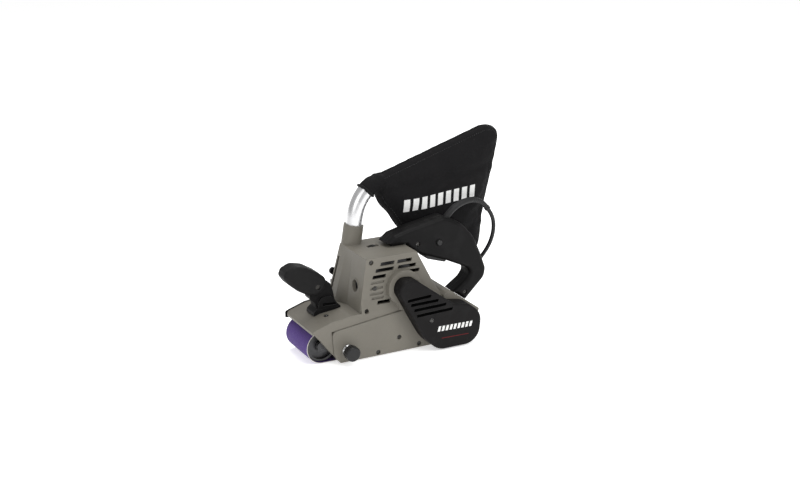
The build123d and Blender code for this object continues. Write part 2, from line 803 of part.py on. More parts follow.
with BuildPart() as bearing_plate:
    slab_y(
        [(-23, 84), (-19, 140), (44, 143), (68, 100), (80, 79), (-18, 79)],
        30.5,
        34.5,
        radii=4,
    )
    rod_y(motor_x, motor_z, 8, 31, 35, mode=Mode.SUBTRACT)
    rod_y(motor_x, motor_z, 5.5, 30, 32, mode=Mode.SUBTRACT)
    rod_y(counter_x, counter_z, 8, 30.5, 35, mode=Mode.SUBTRACT)
save(bearing_plate, "bearing_plate")

with BuildPart() as field_core:
    with BuildSketch(Plane.XZ.offset(-14)):
        with Locations((motor_x, motor_z)):
            Circle(27)
            Circle(22, mode=Mode.SUBTRACT)
            for pole_z in (19.5, -19.5):
                with Locations((0, pole_z)):
                    Rectangle(14, 7)
            Circle(16.3, mode=Mode.SUBTRACT)
    extrude(amount=28)
save(field_core, "field_core")

with BuildPart() as field_windings:
    for low in (motor_z - 18.4, motor_z + 15.2):
        box_between((-11.8, -18, low), (11.8, 18, low + 3.2))
        box_between((-7.2, -14.3, low), (7.2, 14.3, low + 3.2), mode=Mode.SUBTRACT)
save(field_windings, "field_windings")

with BuildPart() as brush_holders:
    for x_from in (-26.8, 12):
        with BuildSketch(Plane(origin=(x_from, -brush_near, motor_z), z_dir=(1, 0, 0))):
            Circle(5)
            Rectangle(6, 4.4, mode=Mode.SUBTRACT)
        extrude(amount=14.8)
save(brush_holders, "brush_holders")

with BuildPart() as carbon_brushes:
    for x_from in (-24, 10.3):
        with BuildSketch(Plane(origin=(x_from, -brush_near, motor_z), z_dir=(1, 0, 0))):
            Rectangle(5.8, 4.2)
        extrude(amount=13.7)
save(carbon_brushes, "carbon_brushes")

brush_cap_x = -29.6
with BuildPart() as brush_cap:
    with BuildSketch(Plane(origin=(brush_cap_x, -brush_near, motor_z), z_dir=(1, 0, 0))):
        Circle(7.2)
    extrude(amount=2.4)
    box_between(
        (brush_cap_x - 1, -brush_near - 5.5, motor_z - 0.8),
        (brush_cap_x + 1, -brush_near + 5.5, motor_z + 0.8),
        mode=Mode.SUBTRACT,
    )
save(brush_cap, "brush_cap")

# ---------------------------------------------------------------- rear handle

pull_angle = -20.0
along = Vector(cos(radians(pull_angle)), 0, sin(radians(pull_angle)))
inward = Vector(-sin(radians(pull_angle)), 0, cos(radians(pull_angle)))
trigger_corner = Vector(93, 0, 129.5)
trigger_len = 38.0
trigger_half = 12.0


def trigger_point(run, rise):
    """Point in the side view, measured along and into the handle's underside."""
    point = trigger_corner + along * run + inward * rise
    return (point.X, point.Z)


handle_points = [
    (24, 159.5), (37.5, 170), (57, 175), (123, 187.5), (153, 174), (176, 149), (189, 121), (199, 94),
    (197, 80), (163, 47), (140.5, 63.5), (163, 79), (171, 90), (166, 99),
    trigger_point(trigger_len, 0), (82, 134), (65, 145.5), (57.5, 153.8), (33, 153.8),
]
handle_radii = [0, 0, 30, 16, 40, 60, 60, 12, 20, 0, 0, 20, 8, 12, 8, 16, 16, 0, 0]
handle_screws = [(77, 151.5), (161, 60)]
lock_x = 113.0
lock_z = 149.0
lock_r = 4.5
sleeve_start = Vector(126, 0, 172)
sleeve_dir = Vector(0.62, 0, 0.785)


def handle_half_shell(near_side):
    """One half of the rear handle; near_side is 1 for the drive side and -1 for the other."""
    with BuildPart() as half:
        slab_y(handle_points, 0, near_side * handle_half, radii=handle_radii)
        outer = half.faces().sort_by(Axis.Y)[0 if near_side > 0 else -1]
        fillet(outer.edges(), handle_round)
        # Hollow for the switch and its wires
        slab_y(
            [(60, 160), (62, 170), (118, 174), (150, 160), (172, 135), (172, 120), (128, 140), (92, 152)],
            0,
            near_side * 11,
            radii=4,
            mode=Mode.SUBTRACT,
        )
        slab_y(
            [trigger_point(0, -12), trigger_point(trigger_len, -12), trigger_point(trigger_len, 22),
             trigger_point(0, 22)],
            0,
            near_side * (trigger_half + clear),
            mode=Mode.SUBTRACT,
        )
        with BuildSketch(Plane(origin=sleeve_start, z_dir=sleeve_dir)):
            Circle(sleeve_d / 2 + 0.5)
        extrude(amount=40, mode=Mode.SUBTRACT)
        if near_side > 0:
            rod_y(lock_x, lock_z, lock_r + 0.3, 0, handle_half + 1, mode=Mode.SUBTRACT)
            for x, z in handle_screws:
                side_screw_hole(x, z, handle_half, 10)
    return half


rear_handle_left = handle_half_shell(1)
save(rear_handle_left, "rear_handle_left")
rear_handle_right = handle_half_shell(-1)
save(rear_handle_right, "rear_handle_right")

with BuildPart() as trigger:
    slab_y(
        [trigger_point(0.5, -4.5), trigger_point(trigger_len - 0.5, -3.0),
         trigger_point(trigger_len - 0.5, 15.5), trigger_point(0.5, 15.5)],
        -trigger_half,
        trigger_half,
        radii=[4, 3, 1, 1],
    )
save(trigger, "trigger")

with BuildPart() as lock_button:
    rod_y(lock_x, lock_z, lock_r, 11.5, handle_half + 3)
    fillet(lock_button.faces().sort_by(Axis.Y)[0].edges(), 1.2)
save(lock_button, "lock_button")

with BuildPart() as case_screw_set:
    for x, z in case_screws:
        side_screw(x, z, side_near, 6)
    side_screw(*groove_screw, side_near + 1.6, 2)
    for x, z in lower_screws:
        side_screw(x, z, lower_near, 3)
    for x, z in handle_screws:
        side_screw(x, z, handle_half, 10)
    side_screw(*cover_screw, cover_near + 2, 6)
    with Locations(Location((deck_screw_x, -deck_screw_near, deck_screw_seat + 1.1))):
        Cylinder(screw_head_r, 2.2)
    with Locations(Location((deck_screw_x, -deck_screw_near, deck_screw_seat - 2))):
        Cylinder(screw_shank_r, 4)
    with Locations(Location((deck_screw_x, -deck_screw_near, deck_screw_seat + 2))):
        Box(3.6, 0.8, 1.2, mode=Mode.SUBTRACT)
        Box(0.8, 3.6, 1.2, mode=Mode.SUBTRACT)
save(case_screw_set, "case_screws")

with BuildPart() as power_switch:
    box_between((100, -9, 152), (125, 9, 169.5))
save(power_switch, "power_switch")

# ---------------------------------------------------------------- front handle

with BuildPart() as front_handle_base:
    # Flange that follows the deck
    slab_y(
        [(-97, 64.6), (-86, 68.1), (-60, 71.1), (-55, 72.4), (-52, 72.4), (-53, 76), (-60, 78.5),
         (-90, 76), (-96, 71)],
        -12,
        13,
        radii=[1, 0, 0, 0, 1, 2, 3, 3, 3],
    )
    # Neck
    slab_y(
        [(-90, 74), (-92, 84), (-101, 92), (-96, 110), (-80, 118), (-67, 112), (-63, 100), (-60, 84),
         (-54, 75)],
        -fork_half + clear,
        fork_half - clear,
        radii=[0, 6, 6, 8, 8, 6, 10, 10, 0],
    )
    slab_y(
        [(-88, 74), (-88, 86), (-82, 93), (-68, 93), (-62, 86), (-54, 75)],
        -13.5,
        13.5,
        radii=[0, 4, 6, 6, 8, 0],
    )
    rod_y(pivot_x, pivot_z, 4.05, -fork_half, fork_half, mode=Mode.SUBTRACT)
    # Recess in the drive side's foot
    slab_y([(-82, 79), (-82, 84), (-62, 82), (-57, 78.5)], 8, 14, radii=1, mode=Mode.SUBTRACT)
save(front_handle_base, "front_handle_base")

with BuildPart() as front_handle:
    slab_y(
        [(-142, 131), (-138, 141), (-124, 147), (-106, 143), (-89, 133), (-74, 121), (-77, 104),
         (-90, 96), (-103, 98), (-120, 108), (-135, 121)],
        -paddle_half,
        paddle_half,
        radii=[7, 8, 14, 20, 20, 11, 11, 10, 14, 30, 12],
    )
    for side in (0, -1):
        fillet(front_handle.faces().sort_by(Axis.Y)[side].edges(), 6)
    # Fork slot round the neck
    slab_y(
        [(-107, 84), (-107, 118), (-96, 127), (-60, 127), (-60, 84)],
        -fork_half,
        fork_half,
        radii=[0, 8, 8, 0, 0],
        mode=Mode.SUBTRACT,
    )
    rod_y(pivot_x, pivot_z, 4.05, -paddle_half, paddle_half, mode=Mode.SUBTRACT)
save(front_handle, "front_handle")

with BuildPart() as front_pivot_bolt:
    rod_y(pivot_x, pivot_z, 4.0, -paddle_half + 2, paddle_half - 2)
save(front_pivot_bolt, "front_pivot_bolt")

# ---------------------------------------------------------------- dust tube and bag

tube_bend_r = 70.0
tube_sweep = 40.0
tube_low = Vector(outlet_x, outlet_y, outlet_z) - 2 * collar_dir
tube_bend = Vector(outlet_x, outlet_y, outlet_z) + 45 * collar_dir
bend_centre = tube_bend + Vector(cos(radians(collar_tilt)), 0, -sin(radians(collar_tilt))) * tube_bend_r


def bend_point(turned):
    """Point on the elbow's centre line after turning by an angle."""
    angle = radians(180 - collar_tilt - turned)
    return bend_centre + Vector(cos(angle), 0, sin(angle)) * tube_bend_r


with BuildPart() as dust_tube:
    with BuildLine() as elbow:
        Line(tube_low, tube_bend)
        ThreePointArc(tube_bend, bend_point(tube_sweep / 2), bend_point(tube_sweep))
    with BuildSketch(Plane(origin=tube_low, z_dir=collar_dir)):
        Circle(tube_r)
        Circle(tube_r - tube_wall, mode=Mode.SUBTRACT)
    sweep(path=elbow.line)
save(dust_tube, "dust_tube")

bag_y = 47.0
bag_half = 21.0
bag_round = 12.0
neck_r = 15.0
throat_r = 13.5
throat_rise = 16.0
throat_len = 25.0
clip_turn = 34.0
cuff_turn = 31.0
clip_inner_r = 13.3
clip_outer_r = 14.3
clip_wide = 4.0
bag_points = [
    (24, 244), (57, 255), (224, 307), (251, 299.5), (245, 262), (227, 178), (219, 106),
    (200, 103), (106, 135), (73, 163), (57, 190), (43, 203),
]
bag_radii = [8, 40, 20, 15, 60, 60, 14, 20, 40, 40, 40, 10]


def bend_direction(turned):
    """Direction of the elbow's centre line after turning by an angle."""
    angle = radians(collar_tilt + turned)
    return Vector(sin(angle), 0, cos(angle))


with BuildPart() as dust_bag:
    slab_y(bag_points, -bag_y - bag_half, -bag_y + bag_half, radii=bag_radii)
    for side in (0, -1):
        fillet(dust_bag.faces().sort_by(Axis.Y)[side].edges(), bag_round)
    # Cuff round the tube, and the throat that leads it into the bag
    with BuildLine() as cuff_line:
        ThreePointArc(bend_point(cuff_turn), bend_point((cuff_turn + tube_sweep) / 2), bend_point(tube_sweep))
    with BuildSketch(Plane(origin=bend_point(cuff_turn), z_dir=bend_direction(cuff_turn))):
        Circle(neck_r)
    sweep(path=cuff_line.line)
    with Locations(Location(bend_point(tube_sweep))):
        Sphere(throat_r)
    throat_dir = Vector(cos(radians(throat_rise)), 0, sin(radians(throat_rise)))
    with BuildSketch(Plane(origin=bend_point(tube_sweep), z_dir=throat_dir)):
        Circle(throat_r)
    extrude(amount=throat_len)
    with BuildSketch(Plane(origin=tube_low, z_dir=collar_dir)):
        Circle(tube_r + clear)
    sweep(path=elbow.line, mode=Mode.SUBTRACT)
    # Channel in the hem for the wire clip
    with BuildSketch(Plane(origin=bend_point(clip_turn), z_dir=bend_direction(clip_turn))):
        Circle(clip_outer_r + 0.1)
        Circle(clip_inner_r - 0.1, mode=Mode.SUBTRACT)
    extrude(amount=clip_wide, mode=Mode.SUBTRACT)
save(dust_bag, "dust_bag")

with BuildPart() as bag_neck_clip:
    with BuildSketch(Plane(origin=bend_point(clip_turn), z_dir=bend_direction(clip_turn))):
        Circle(clip_outer_r)
        Circle(clip_inner_r, mode=Mode.SUBTRACT)
    extrude(amount=clip_wide)
save(bag_neck_clip, "bag_neck_clip")

# ---------------------------------------------------------------- cord


def corner_radii(points):
    """Largest smooth arc for each inner corner of a route: 0.45 of its shorter run."""
    radii = []
    for before, corner, after in zip(points, points[1:], points[2:]):
        run_in = Vector(*corner) - Vector(*before)
        run_out = Vector(*after) - Vector(*corner)
        half_turn = radians(run_in.get_angle(run_out)) / 2
        radii.append(0.45 * min(run_in.length, run_out.length) / tan(half_turn))
    return radii


def route_tube(points, diameter):
    """Round tube that follows straight runs joined by arcs, for the part in progress."""
    radii = corner_radii(points)
    with BuildLine() as route:
        FilletPolyline(*points, radius=radii)
    start_dir = Vector(*points[1]) - Vector(*points[0])
    with BuildSketch(Plane(origin=points[0], z_dir=start_dir)) as section:
        Circle(diameter / 2)
    path = route.wires()[0]
    sweep(section.sketch, path=path)
    print("length", round(path.length, 1), "volume", round(section.sketch.area * path.length))
    print("corner radii", [round(radius, 1) for radius in radii])


sleeve_route = [
    (126, 0, 172), (142.1, 0, 192.4), (167, 3, 202), (190, 6, 201.5), (206, 9, 193), (216, 11, 181),
]
cord_route = [
    (216, 11, 181), (223.7, 12.5, 171.8), (230.1, 14.5, 156), (230.8, 17, 136), (224.7, 20, 115),
    (211, 27, 91.5), (196, 39, 64), (181, 55, 36), (166, 74, 13), (150, 91, 3.6),
    (128, 108, 3.4), (111, 129, 3.4), (105.5, 151, 3.4),
]

with BuildPart() as cord_sleeve:
    route_tube(sleeve_route, sleeve_d)
save(cord_sleeve, "cord_sleeve")

with BuildPart() as power_cord:
    route_tube(cord_route, cord_d)
    print("power_cord volume", round(power_cord.part.volume))
save(power_cord, "power_cord")

coil_half = coil_rows * cord_d / 2
coil_high = coil_rows * cord_d

with BuildPart() as cord_coil:
    with BuildSketch(Plane.XY):
        with Locations((coil_x, coil_y)):
            Circle(coil_mid_r + coil_half)
            Circle(coil_mid_r - coil_half, mode=Mode.SUBTRACT)
    extrude(amount=coil_high)
save(cord_coil, "cord_coil")

tie_y = coil_y - coil_mid_r
tie_thick = 1.2

with BuildPart() as coil_tie:
    box_between(
        (coil_x - 5, tie_y - coil_half - tie_thick, 0),
        (coil_x + 5, tie_y + coil_half + tie_thick, coil_high + tie_thick),
    )
    box_between(
        (coil_x - 6, tie_y - coil_half + 0.2, tie_thick),
        (coil_x + 6, tie_y + coil_half - 0.2, coil_high - 0.2),
        mode=Mode.SUBTRACT,
    )
save(coil_tie, "coil_tie")

plug_y = coil_y + coil_mid_r
plug_z = coil_high + 11

with BuildPart() as plug:
    box_between((44, plug_y - 12, coil_high), (72, plug_y + 12, coil_high + 22))
    fillet(plug.edges().filter_by(Axis.X), 7)
    with BuildSketch(Plane(origin=(72, plug_y, plug_z), z_dir=(1, 0, 0))):
        Circle(7.5)
    with BuildSketch(Plane(origin=(92, plug_y, plug_z), z_dir=(1, 0, 0))):
        Circle(4.6)
    loft()
    # Two flat blades and a round earth pin
    for blade_y in (-6.35, 6.35):
        box_between((28, plug_y + blade_y - 0.75, plug_z), (44, plug_y + blade_y + 0.75, plug_z + 6.3))
    with BuildSketch(Plane(origin=(27, plug_y, plug_z - 5), z_dir=(1, 0, 0))):
        Circle(2.4)
    extrude(amount=17)
save(plug, "plug")
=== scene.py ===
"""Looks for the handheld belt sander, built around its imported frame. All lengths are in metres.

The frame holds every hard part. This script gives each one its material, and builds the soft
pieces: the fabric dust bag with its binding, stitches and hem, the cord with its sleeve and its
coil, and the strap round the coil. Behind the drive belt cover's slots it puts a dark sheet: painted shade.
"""
import json
import math
from math import cos, pi, radians, sin

import bmesh
import bpy
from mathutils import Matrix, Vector, noise
from mathutils.bvhtree import BVHTree


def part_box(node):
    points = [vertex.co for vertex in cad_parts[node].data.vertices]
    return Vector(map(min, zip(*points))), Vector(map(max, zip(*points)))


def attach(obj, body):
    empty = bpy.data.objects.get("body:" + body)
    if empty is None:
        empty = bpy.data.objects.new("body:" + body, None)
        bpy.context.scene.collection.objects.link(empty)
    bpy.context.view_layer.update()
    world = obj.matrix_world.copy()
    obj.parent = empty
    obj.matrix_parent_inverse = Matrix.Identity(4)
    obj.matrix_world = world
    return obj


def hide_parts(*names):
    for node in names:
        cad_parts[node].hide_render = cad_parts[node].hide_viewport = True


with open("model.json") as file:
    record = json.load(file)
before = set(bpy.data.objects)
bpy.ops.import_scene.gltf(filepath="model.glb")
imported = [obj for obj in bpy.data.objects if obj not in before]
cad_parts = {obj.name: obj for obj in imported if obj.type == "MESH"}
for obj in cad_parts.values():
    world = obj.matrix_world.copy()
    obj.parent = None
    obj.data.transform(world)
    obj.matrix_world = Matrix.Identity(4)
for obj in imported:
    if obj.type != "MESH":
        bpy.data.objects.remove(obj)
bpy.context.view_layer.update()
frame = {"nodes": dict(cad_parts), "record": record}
nodes = frame["nodes"]
scene = bpy.context.scene

# ---------------------------------------------------------------- camera, floor and light

VIEW_TARGET = Vector((0.0546, 0.0, 0.1411))
VIEW_AZIMUTH = radians(-28)
VIEW_ELEVATION = radians(18.5)
VIEW_DISTANCE = 2.0
VIEW_LENS = 59.4
SENSOR_WIDTH = 36
FLOOR_SIZE = 30
FLOOR_HEIGHT = -0.0003
FLOOR_WHITE = 0.93
FLOOR_GLOW = 0.5
SKY_STRENGTH = 0.5
# Softboxes: name, place, size and power
LIGHTS = [
    ("key", (0.5, -1.6, 1.7), 1.1, 23),
    ("fill", (-1.6, -1.0, 1.0), 1.4, 9),
    ("top", (0.1, 0.5, 1.9), 1.2, 17),
    ("back", (1.3, 1.1, 0.9), 0.9, 6),
]


def look_at(obj, target):
    """Turns a camera or light so that it points at the target."""
    obj.rotation_euler = (target - obj.location).to_track_quat("-Z", "Y").to_euler()


def make_camera():
    """Camera on the drive side, a little in front of the tool and above it."""
    camera = bpy.data.objects.new("camera", bpy.data.cameras.new("camera"))
    scene.collection.objects.link(camera)
    away = Vector((
        sin(VIEW_AZIMUTH) * cos(VIEW_ELEVATION),
        -cos(VIEW_AZIMUTH) * cos(VIEW_ELEVATION),
        sin(VIEW_ELEVATION),
    ))
    camera.location = VIEW_TARGET + away * VIEW_DISTANCE
    look_at(camera, VIEW_TARGET)
    camera.data.lens = VIEW_LENS
    camera.data.sensor_width = SENSOR_WIDTH
    scene.camera = camera


def make_light(name, place, size, power):
    """One square softbox, turned to the tool."""
    light = bpy.data.lights.new(name, "AREA")
    light.size = size
    light.energy = power
    obj = bpy.data.objects.new(name, light)
    obj.location = place
    scene.collection.objects.link(obj)
    look_at(obj, VIEW_TARGET)


def make_studio():
    """Pale floor, even sky and four softboxes."""
    bpy.ops.mesh.primitive_plane_add(size=FLOOR_SIZE, location=(0, 0, FLOOR_HEIGHT))
    floor = bpy.context.object
    floor.name = "floor"
    surface = bpy.data.materials.new("floor")
    surface.use_nodes = True
    shader = surface.node_tree.nodes["Principled BSDF"]
    shader.inputs["Base Color"].default_value = (FLOOR_WHITE, FLOOR_WHITE, FLOOR_WHITE, 1)
    shader.inputs["Roughness"].default_value = 0.9
    shader.inputs["Specular IOR Level"].default_value = 0.1
    shader.inputs["Emission Color"].default_value = (1, 1, 1, 1)
    shader.inputs["Emission Strength"].default_value = FLOOR_GLOW
    floor.data.materials.append(surface)

    world = bpy.data.worlds.new("studio")
    world.use_nodes = True
    sky = world.node_tree.nodes["Background"]
    sky.inputs["Color"].default_value = (1, 1, 1, 1)
    sky.inputs["Strength"].default_value = SKY_STRENGTH
    scene.world = world
    scene.view_settings.view_transform = "Standard"

    for light in LIGHTS:
        make_light(*light)


# ---------------------------------------------------------------- cord route

CORD_D = 0.0065
FLOOR_LINE = 0.0034  # height of the cord's centre line where it lies on the floor
SLEEVE_ROUTE = [
    (0.126, 0, 0.172), (0.1421, 0, 0.1924), (0.167, 0.003, 0.202), (0.190, 0.006, 0.2015),
    (0.206, 0.009, 0.193), (0.216, 0.011, 0.181),
]
CORD_ROUTE = [
    (0.216, 0.011, 0.181), (0.2237, 0.0125, 0.1718), (0.2301, 0.0145, 0.156),
    (0.2308, 0.017, 0.136), (0.2247, 0.020, 0.115), (0.211, 0.027, 0.0915),
    (0.196, 0.039, 0.064), (0.181, 0.055, 0.036), (0.166, 0.074, 0.013),
    (0.150, 0.091, 0.0036), (0.128, 0.108, 0.0034), (0.111, 0.129, 0.0034),
    (0.1055, 0.151, 0.0034),
]
COIL_CENTRE = Vector((0.062, 0.152, 0))
COIL_MID_R = 0.037
COIL_COLUMNS = 3
COIL_TURNS = 9
COIL_STEPS = 24
CHANGE_ANGLE = 60
LAST_TURN_END = 270
# From the last full turn, up over the coil and round into the plug
COIL_TAIL = [
    (0.0699, 0.1225, 0.0182), (0.0776, 0.1255, 0.0208), (0.088, 0.130, 0.0236),
    (0.102, 0.138, 0.0262), (0.1108, 0.1449, 0.0278), (0.1161, 0.1548, 0.029),
    (0.1169, 0.166, 0.0298), (0.113, 0.1765, 0.0304), (0.1053, 0.1846, 0.0305),
    (0.095, 0.1888, 0.0305), (0.090, 0.189, 0.0305),
]


def smooth_step(share):
    """0 to 1 with soft ends."""
    share = max(0.0, min(1.0, share))
    return share * share * (3 - 2 * share)


def coil_place(turn):
    """Column and layer of a turn: layers are wound inward and outward by turns."""
    layer, number = divmod(turn, COIL_COLUMNS)
    column = COIL_COLUMNS - 1 - number if layer % 2 == 0 else number
    return column, layer


def coil_points():
    """Points of the put-away turns. Each change of column or layer has its own sector of the turn."""
    points = []
    start = math.atan2(CORD_ROUTE[-1][1] - COIL_CENTRE.y, CORD_ROUTE[-1][0] - COIL_CENTRE.x)
    top_layer = (COIL_TURNS - 1) // COIL_COLUMNS
    for turn in range(COIL_TURNS):
        column, layer = coil_place(turn)
        next_column, next_layer = coil_place(turn + 1)
        sector = 2 * (top_layer - layer) - (next_layer > layer)
        sector_start = 360 - CHANGE_ANGLE * (2 * top_layer + 1 - sector)
        for step in range(COIL_STEPS):
            angle = 360 * step / COIL_STEPS
            last_turn = turn == COIL_TURNS - 1
            if turn == 0 and step == 0 or last_turn and angle > LAST_TURN_END:
                continue
            share = 0 if last_turn else smooth_step((angle - sector_start) / CHANGE_ANGLE)
            radius = COIL_MID_R + CORD_D * (column + (next_column - column) * share - 1)
            height = FLOOR_LINE + CORD_D * (layer + (next_layer - layer) * share)
            turned = start + radians(angle)
            points.append((
                COIL_CENTRE.x + radius * cos(turned),
                COIL_CENTRE.y + radius * sin(turned),
                height,
            ))
    return points


def nurbs_line(name, points, bevel=0.0):
    """One open NURBS spline through its first and last points."""
    curve = bpy.data.curves.new(name, "CURVE")
    curve.dimensions = "3D"
    spline = curve.splines.new("NURBS")
    spline.points.add(len(points) - 1)
    for control, place in zip(spline.points, points):
        control.co = (*place, 1)
    spline.order_u = 3
    spline.use_endpoint_u = True
    spline.resolution_u = 8
    curve.bevel_depth = bevel
    curve.bevel_resolution = 6
    curve.use_fill_caps = True
    obj = bpy.data.objects.new(name, curve)
    scene.collection.objects.link(obj)
    return obj


def line_points(points):
    """Points along the smooth line of a route."""
    line = nurbs_line("line", points)
    mesh = bpy.data.meshes.new_from_object(line)
    found = [v.co.copy() for v in mesh.vertices]
    bpy.data.objects.remove(line)
    return found


# ---------------------------------------------------------------- mesh helpers


def new_piece(name, bm, smooth=True):
    """An object from a bmesh."""
    bmesh.ops.recalc_face_normals(bm, faces=bm.faces)
    mesh = bpy.data.meshes.new(name)
    bm.to_mesh(mesh)
    bm.free()
    for polygon in mesh.polygons:
        polygon.use_smooth = smooth
    obj = bpy.data.objects.new(name, mesh)
    scene.collection.objects.link(obj)
    return obj


def prism_piece(name, outline, near_y, far_y, smooth=True):
    """Flat-sided piece between two copies of a closed outline of (x, z) points."""
    bm = bmesh.new()
    near = [bm.verts.new((x, near_y, z)) for x, z in outline]
    far = [bm.verts.new((x, far_y, z)) for x, z in outline]
    bm.faces.new(near)
    bm.faces.new(far[::-1])
    count = len(outline)
    for i in range(count):
        j = (i + 1) % count
        bm.faces.new((near[i], far[i], far[j], near[j]))
    return new_piece(name, bm, smooth)


def tube_piece(name, points, radius_at, sides, closed=False):
    """Round tube along points. radius_at gives the radius from the share of the length."""
    bm = bmesh.new()
    tube_into(bm, points, radius_at, sides, closed)
    return new_piece(name, bm)


def tube_into(bm, points, radius_at, sides, closed=False):
    """Adds a tube along points to a bmesh."""
    points = [Vector(p) for p in points]
    count = len(points)
    side = None
    rings = []
    for i, point in enumerate(points):
        before = points[i - 1] if i or closed else points[0]
        after = points[(i + 1) % count] if i < count - 1 or closed else points[-1]
        ahead = (after - before).normalized()
        if side is None:
            side = ahead.orthogonal()
        side = (side - ahead * side.dot(ahead)).normalized()
        up = ahead.cross(side)
        radius = radius_at(i / max(1, count - 1))
        ring = []
        for k in range(sides):
            angle = 2 * pi * k / sides
            ring.append(bm.verts.new(point + (side * cos(angle) + up * sin(angle)) * radius))
        rings.append(ring)
    for one, two in zip(rings, rings[1:] + rings[:1] if closed else rings[1:]):
        for k in range(sides):
            bm.faces.new((one[k], one[(k + 1) % sides], two[(k + 1) % sides], two[k]))
    if not closed:
        bm.faces.new(rings[0])
        bm.faces.new(rings[-1][::-1])


def resample(points, step):
    """Points spaced evenly along straight runs."""
    found = [Vector(points[0])]
    left = step
    for a, b in zip(points, points[1:]):
        a, b = Vector(a), Vector(b)
        run = (b - a).length
        at = left
        while at <= run:
            found.append(a + (b - a) * (at / run))
            at += step
        left = at - run
    return found


# ---------------------------------------------------------------- materials


PLASTIC_EDGE = 0.0008
METAL_EDGE = 0.0004
DRIVE_SIDE = (0, -1, 0)
FAN_SIDE = (0, 1, 0)
COVER_FACE_Y = -0.08
BAG_Y = 0.047
PRINT_INK = (0.74, 0.74, 0.73)
COVER_INK = (0.80, 0.80, 0.78)
COVER_RED = (0.10, 0.008, 0.010)


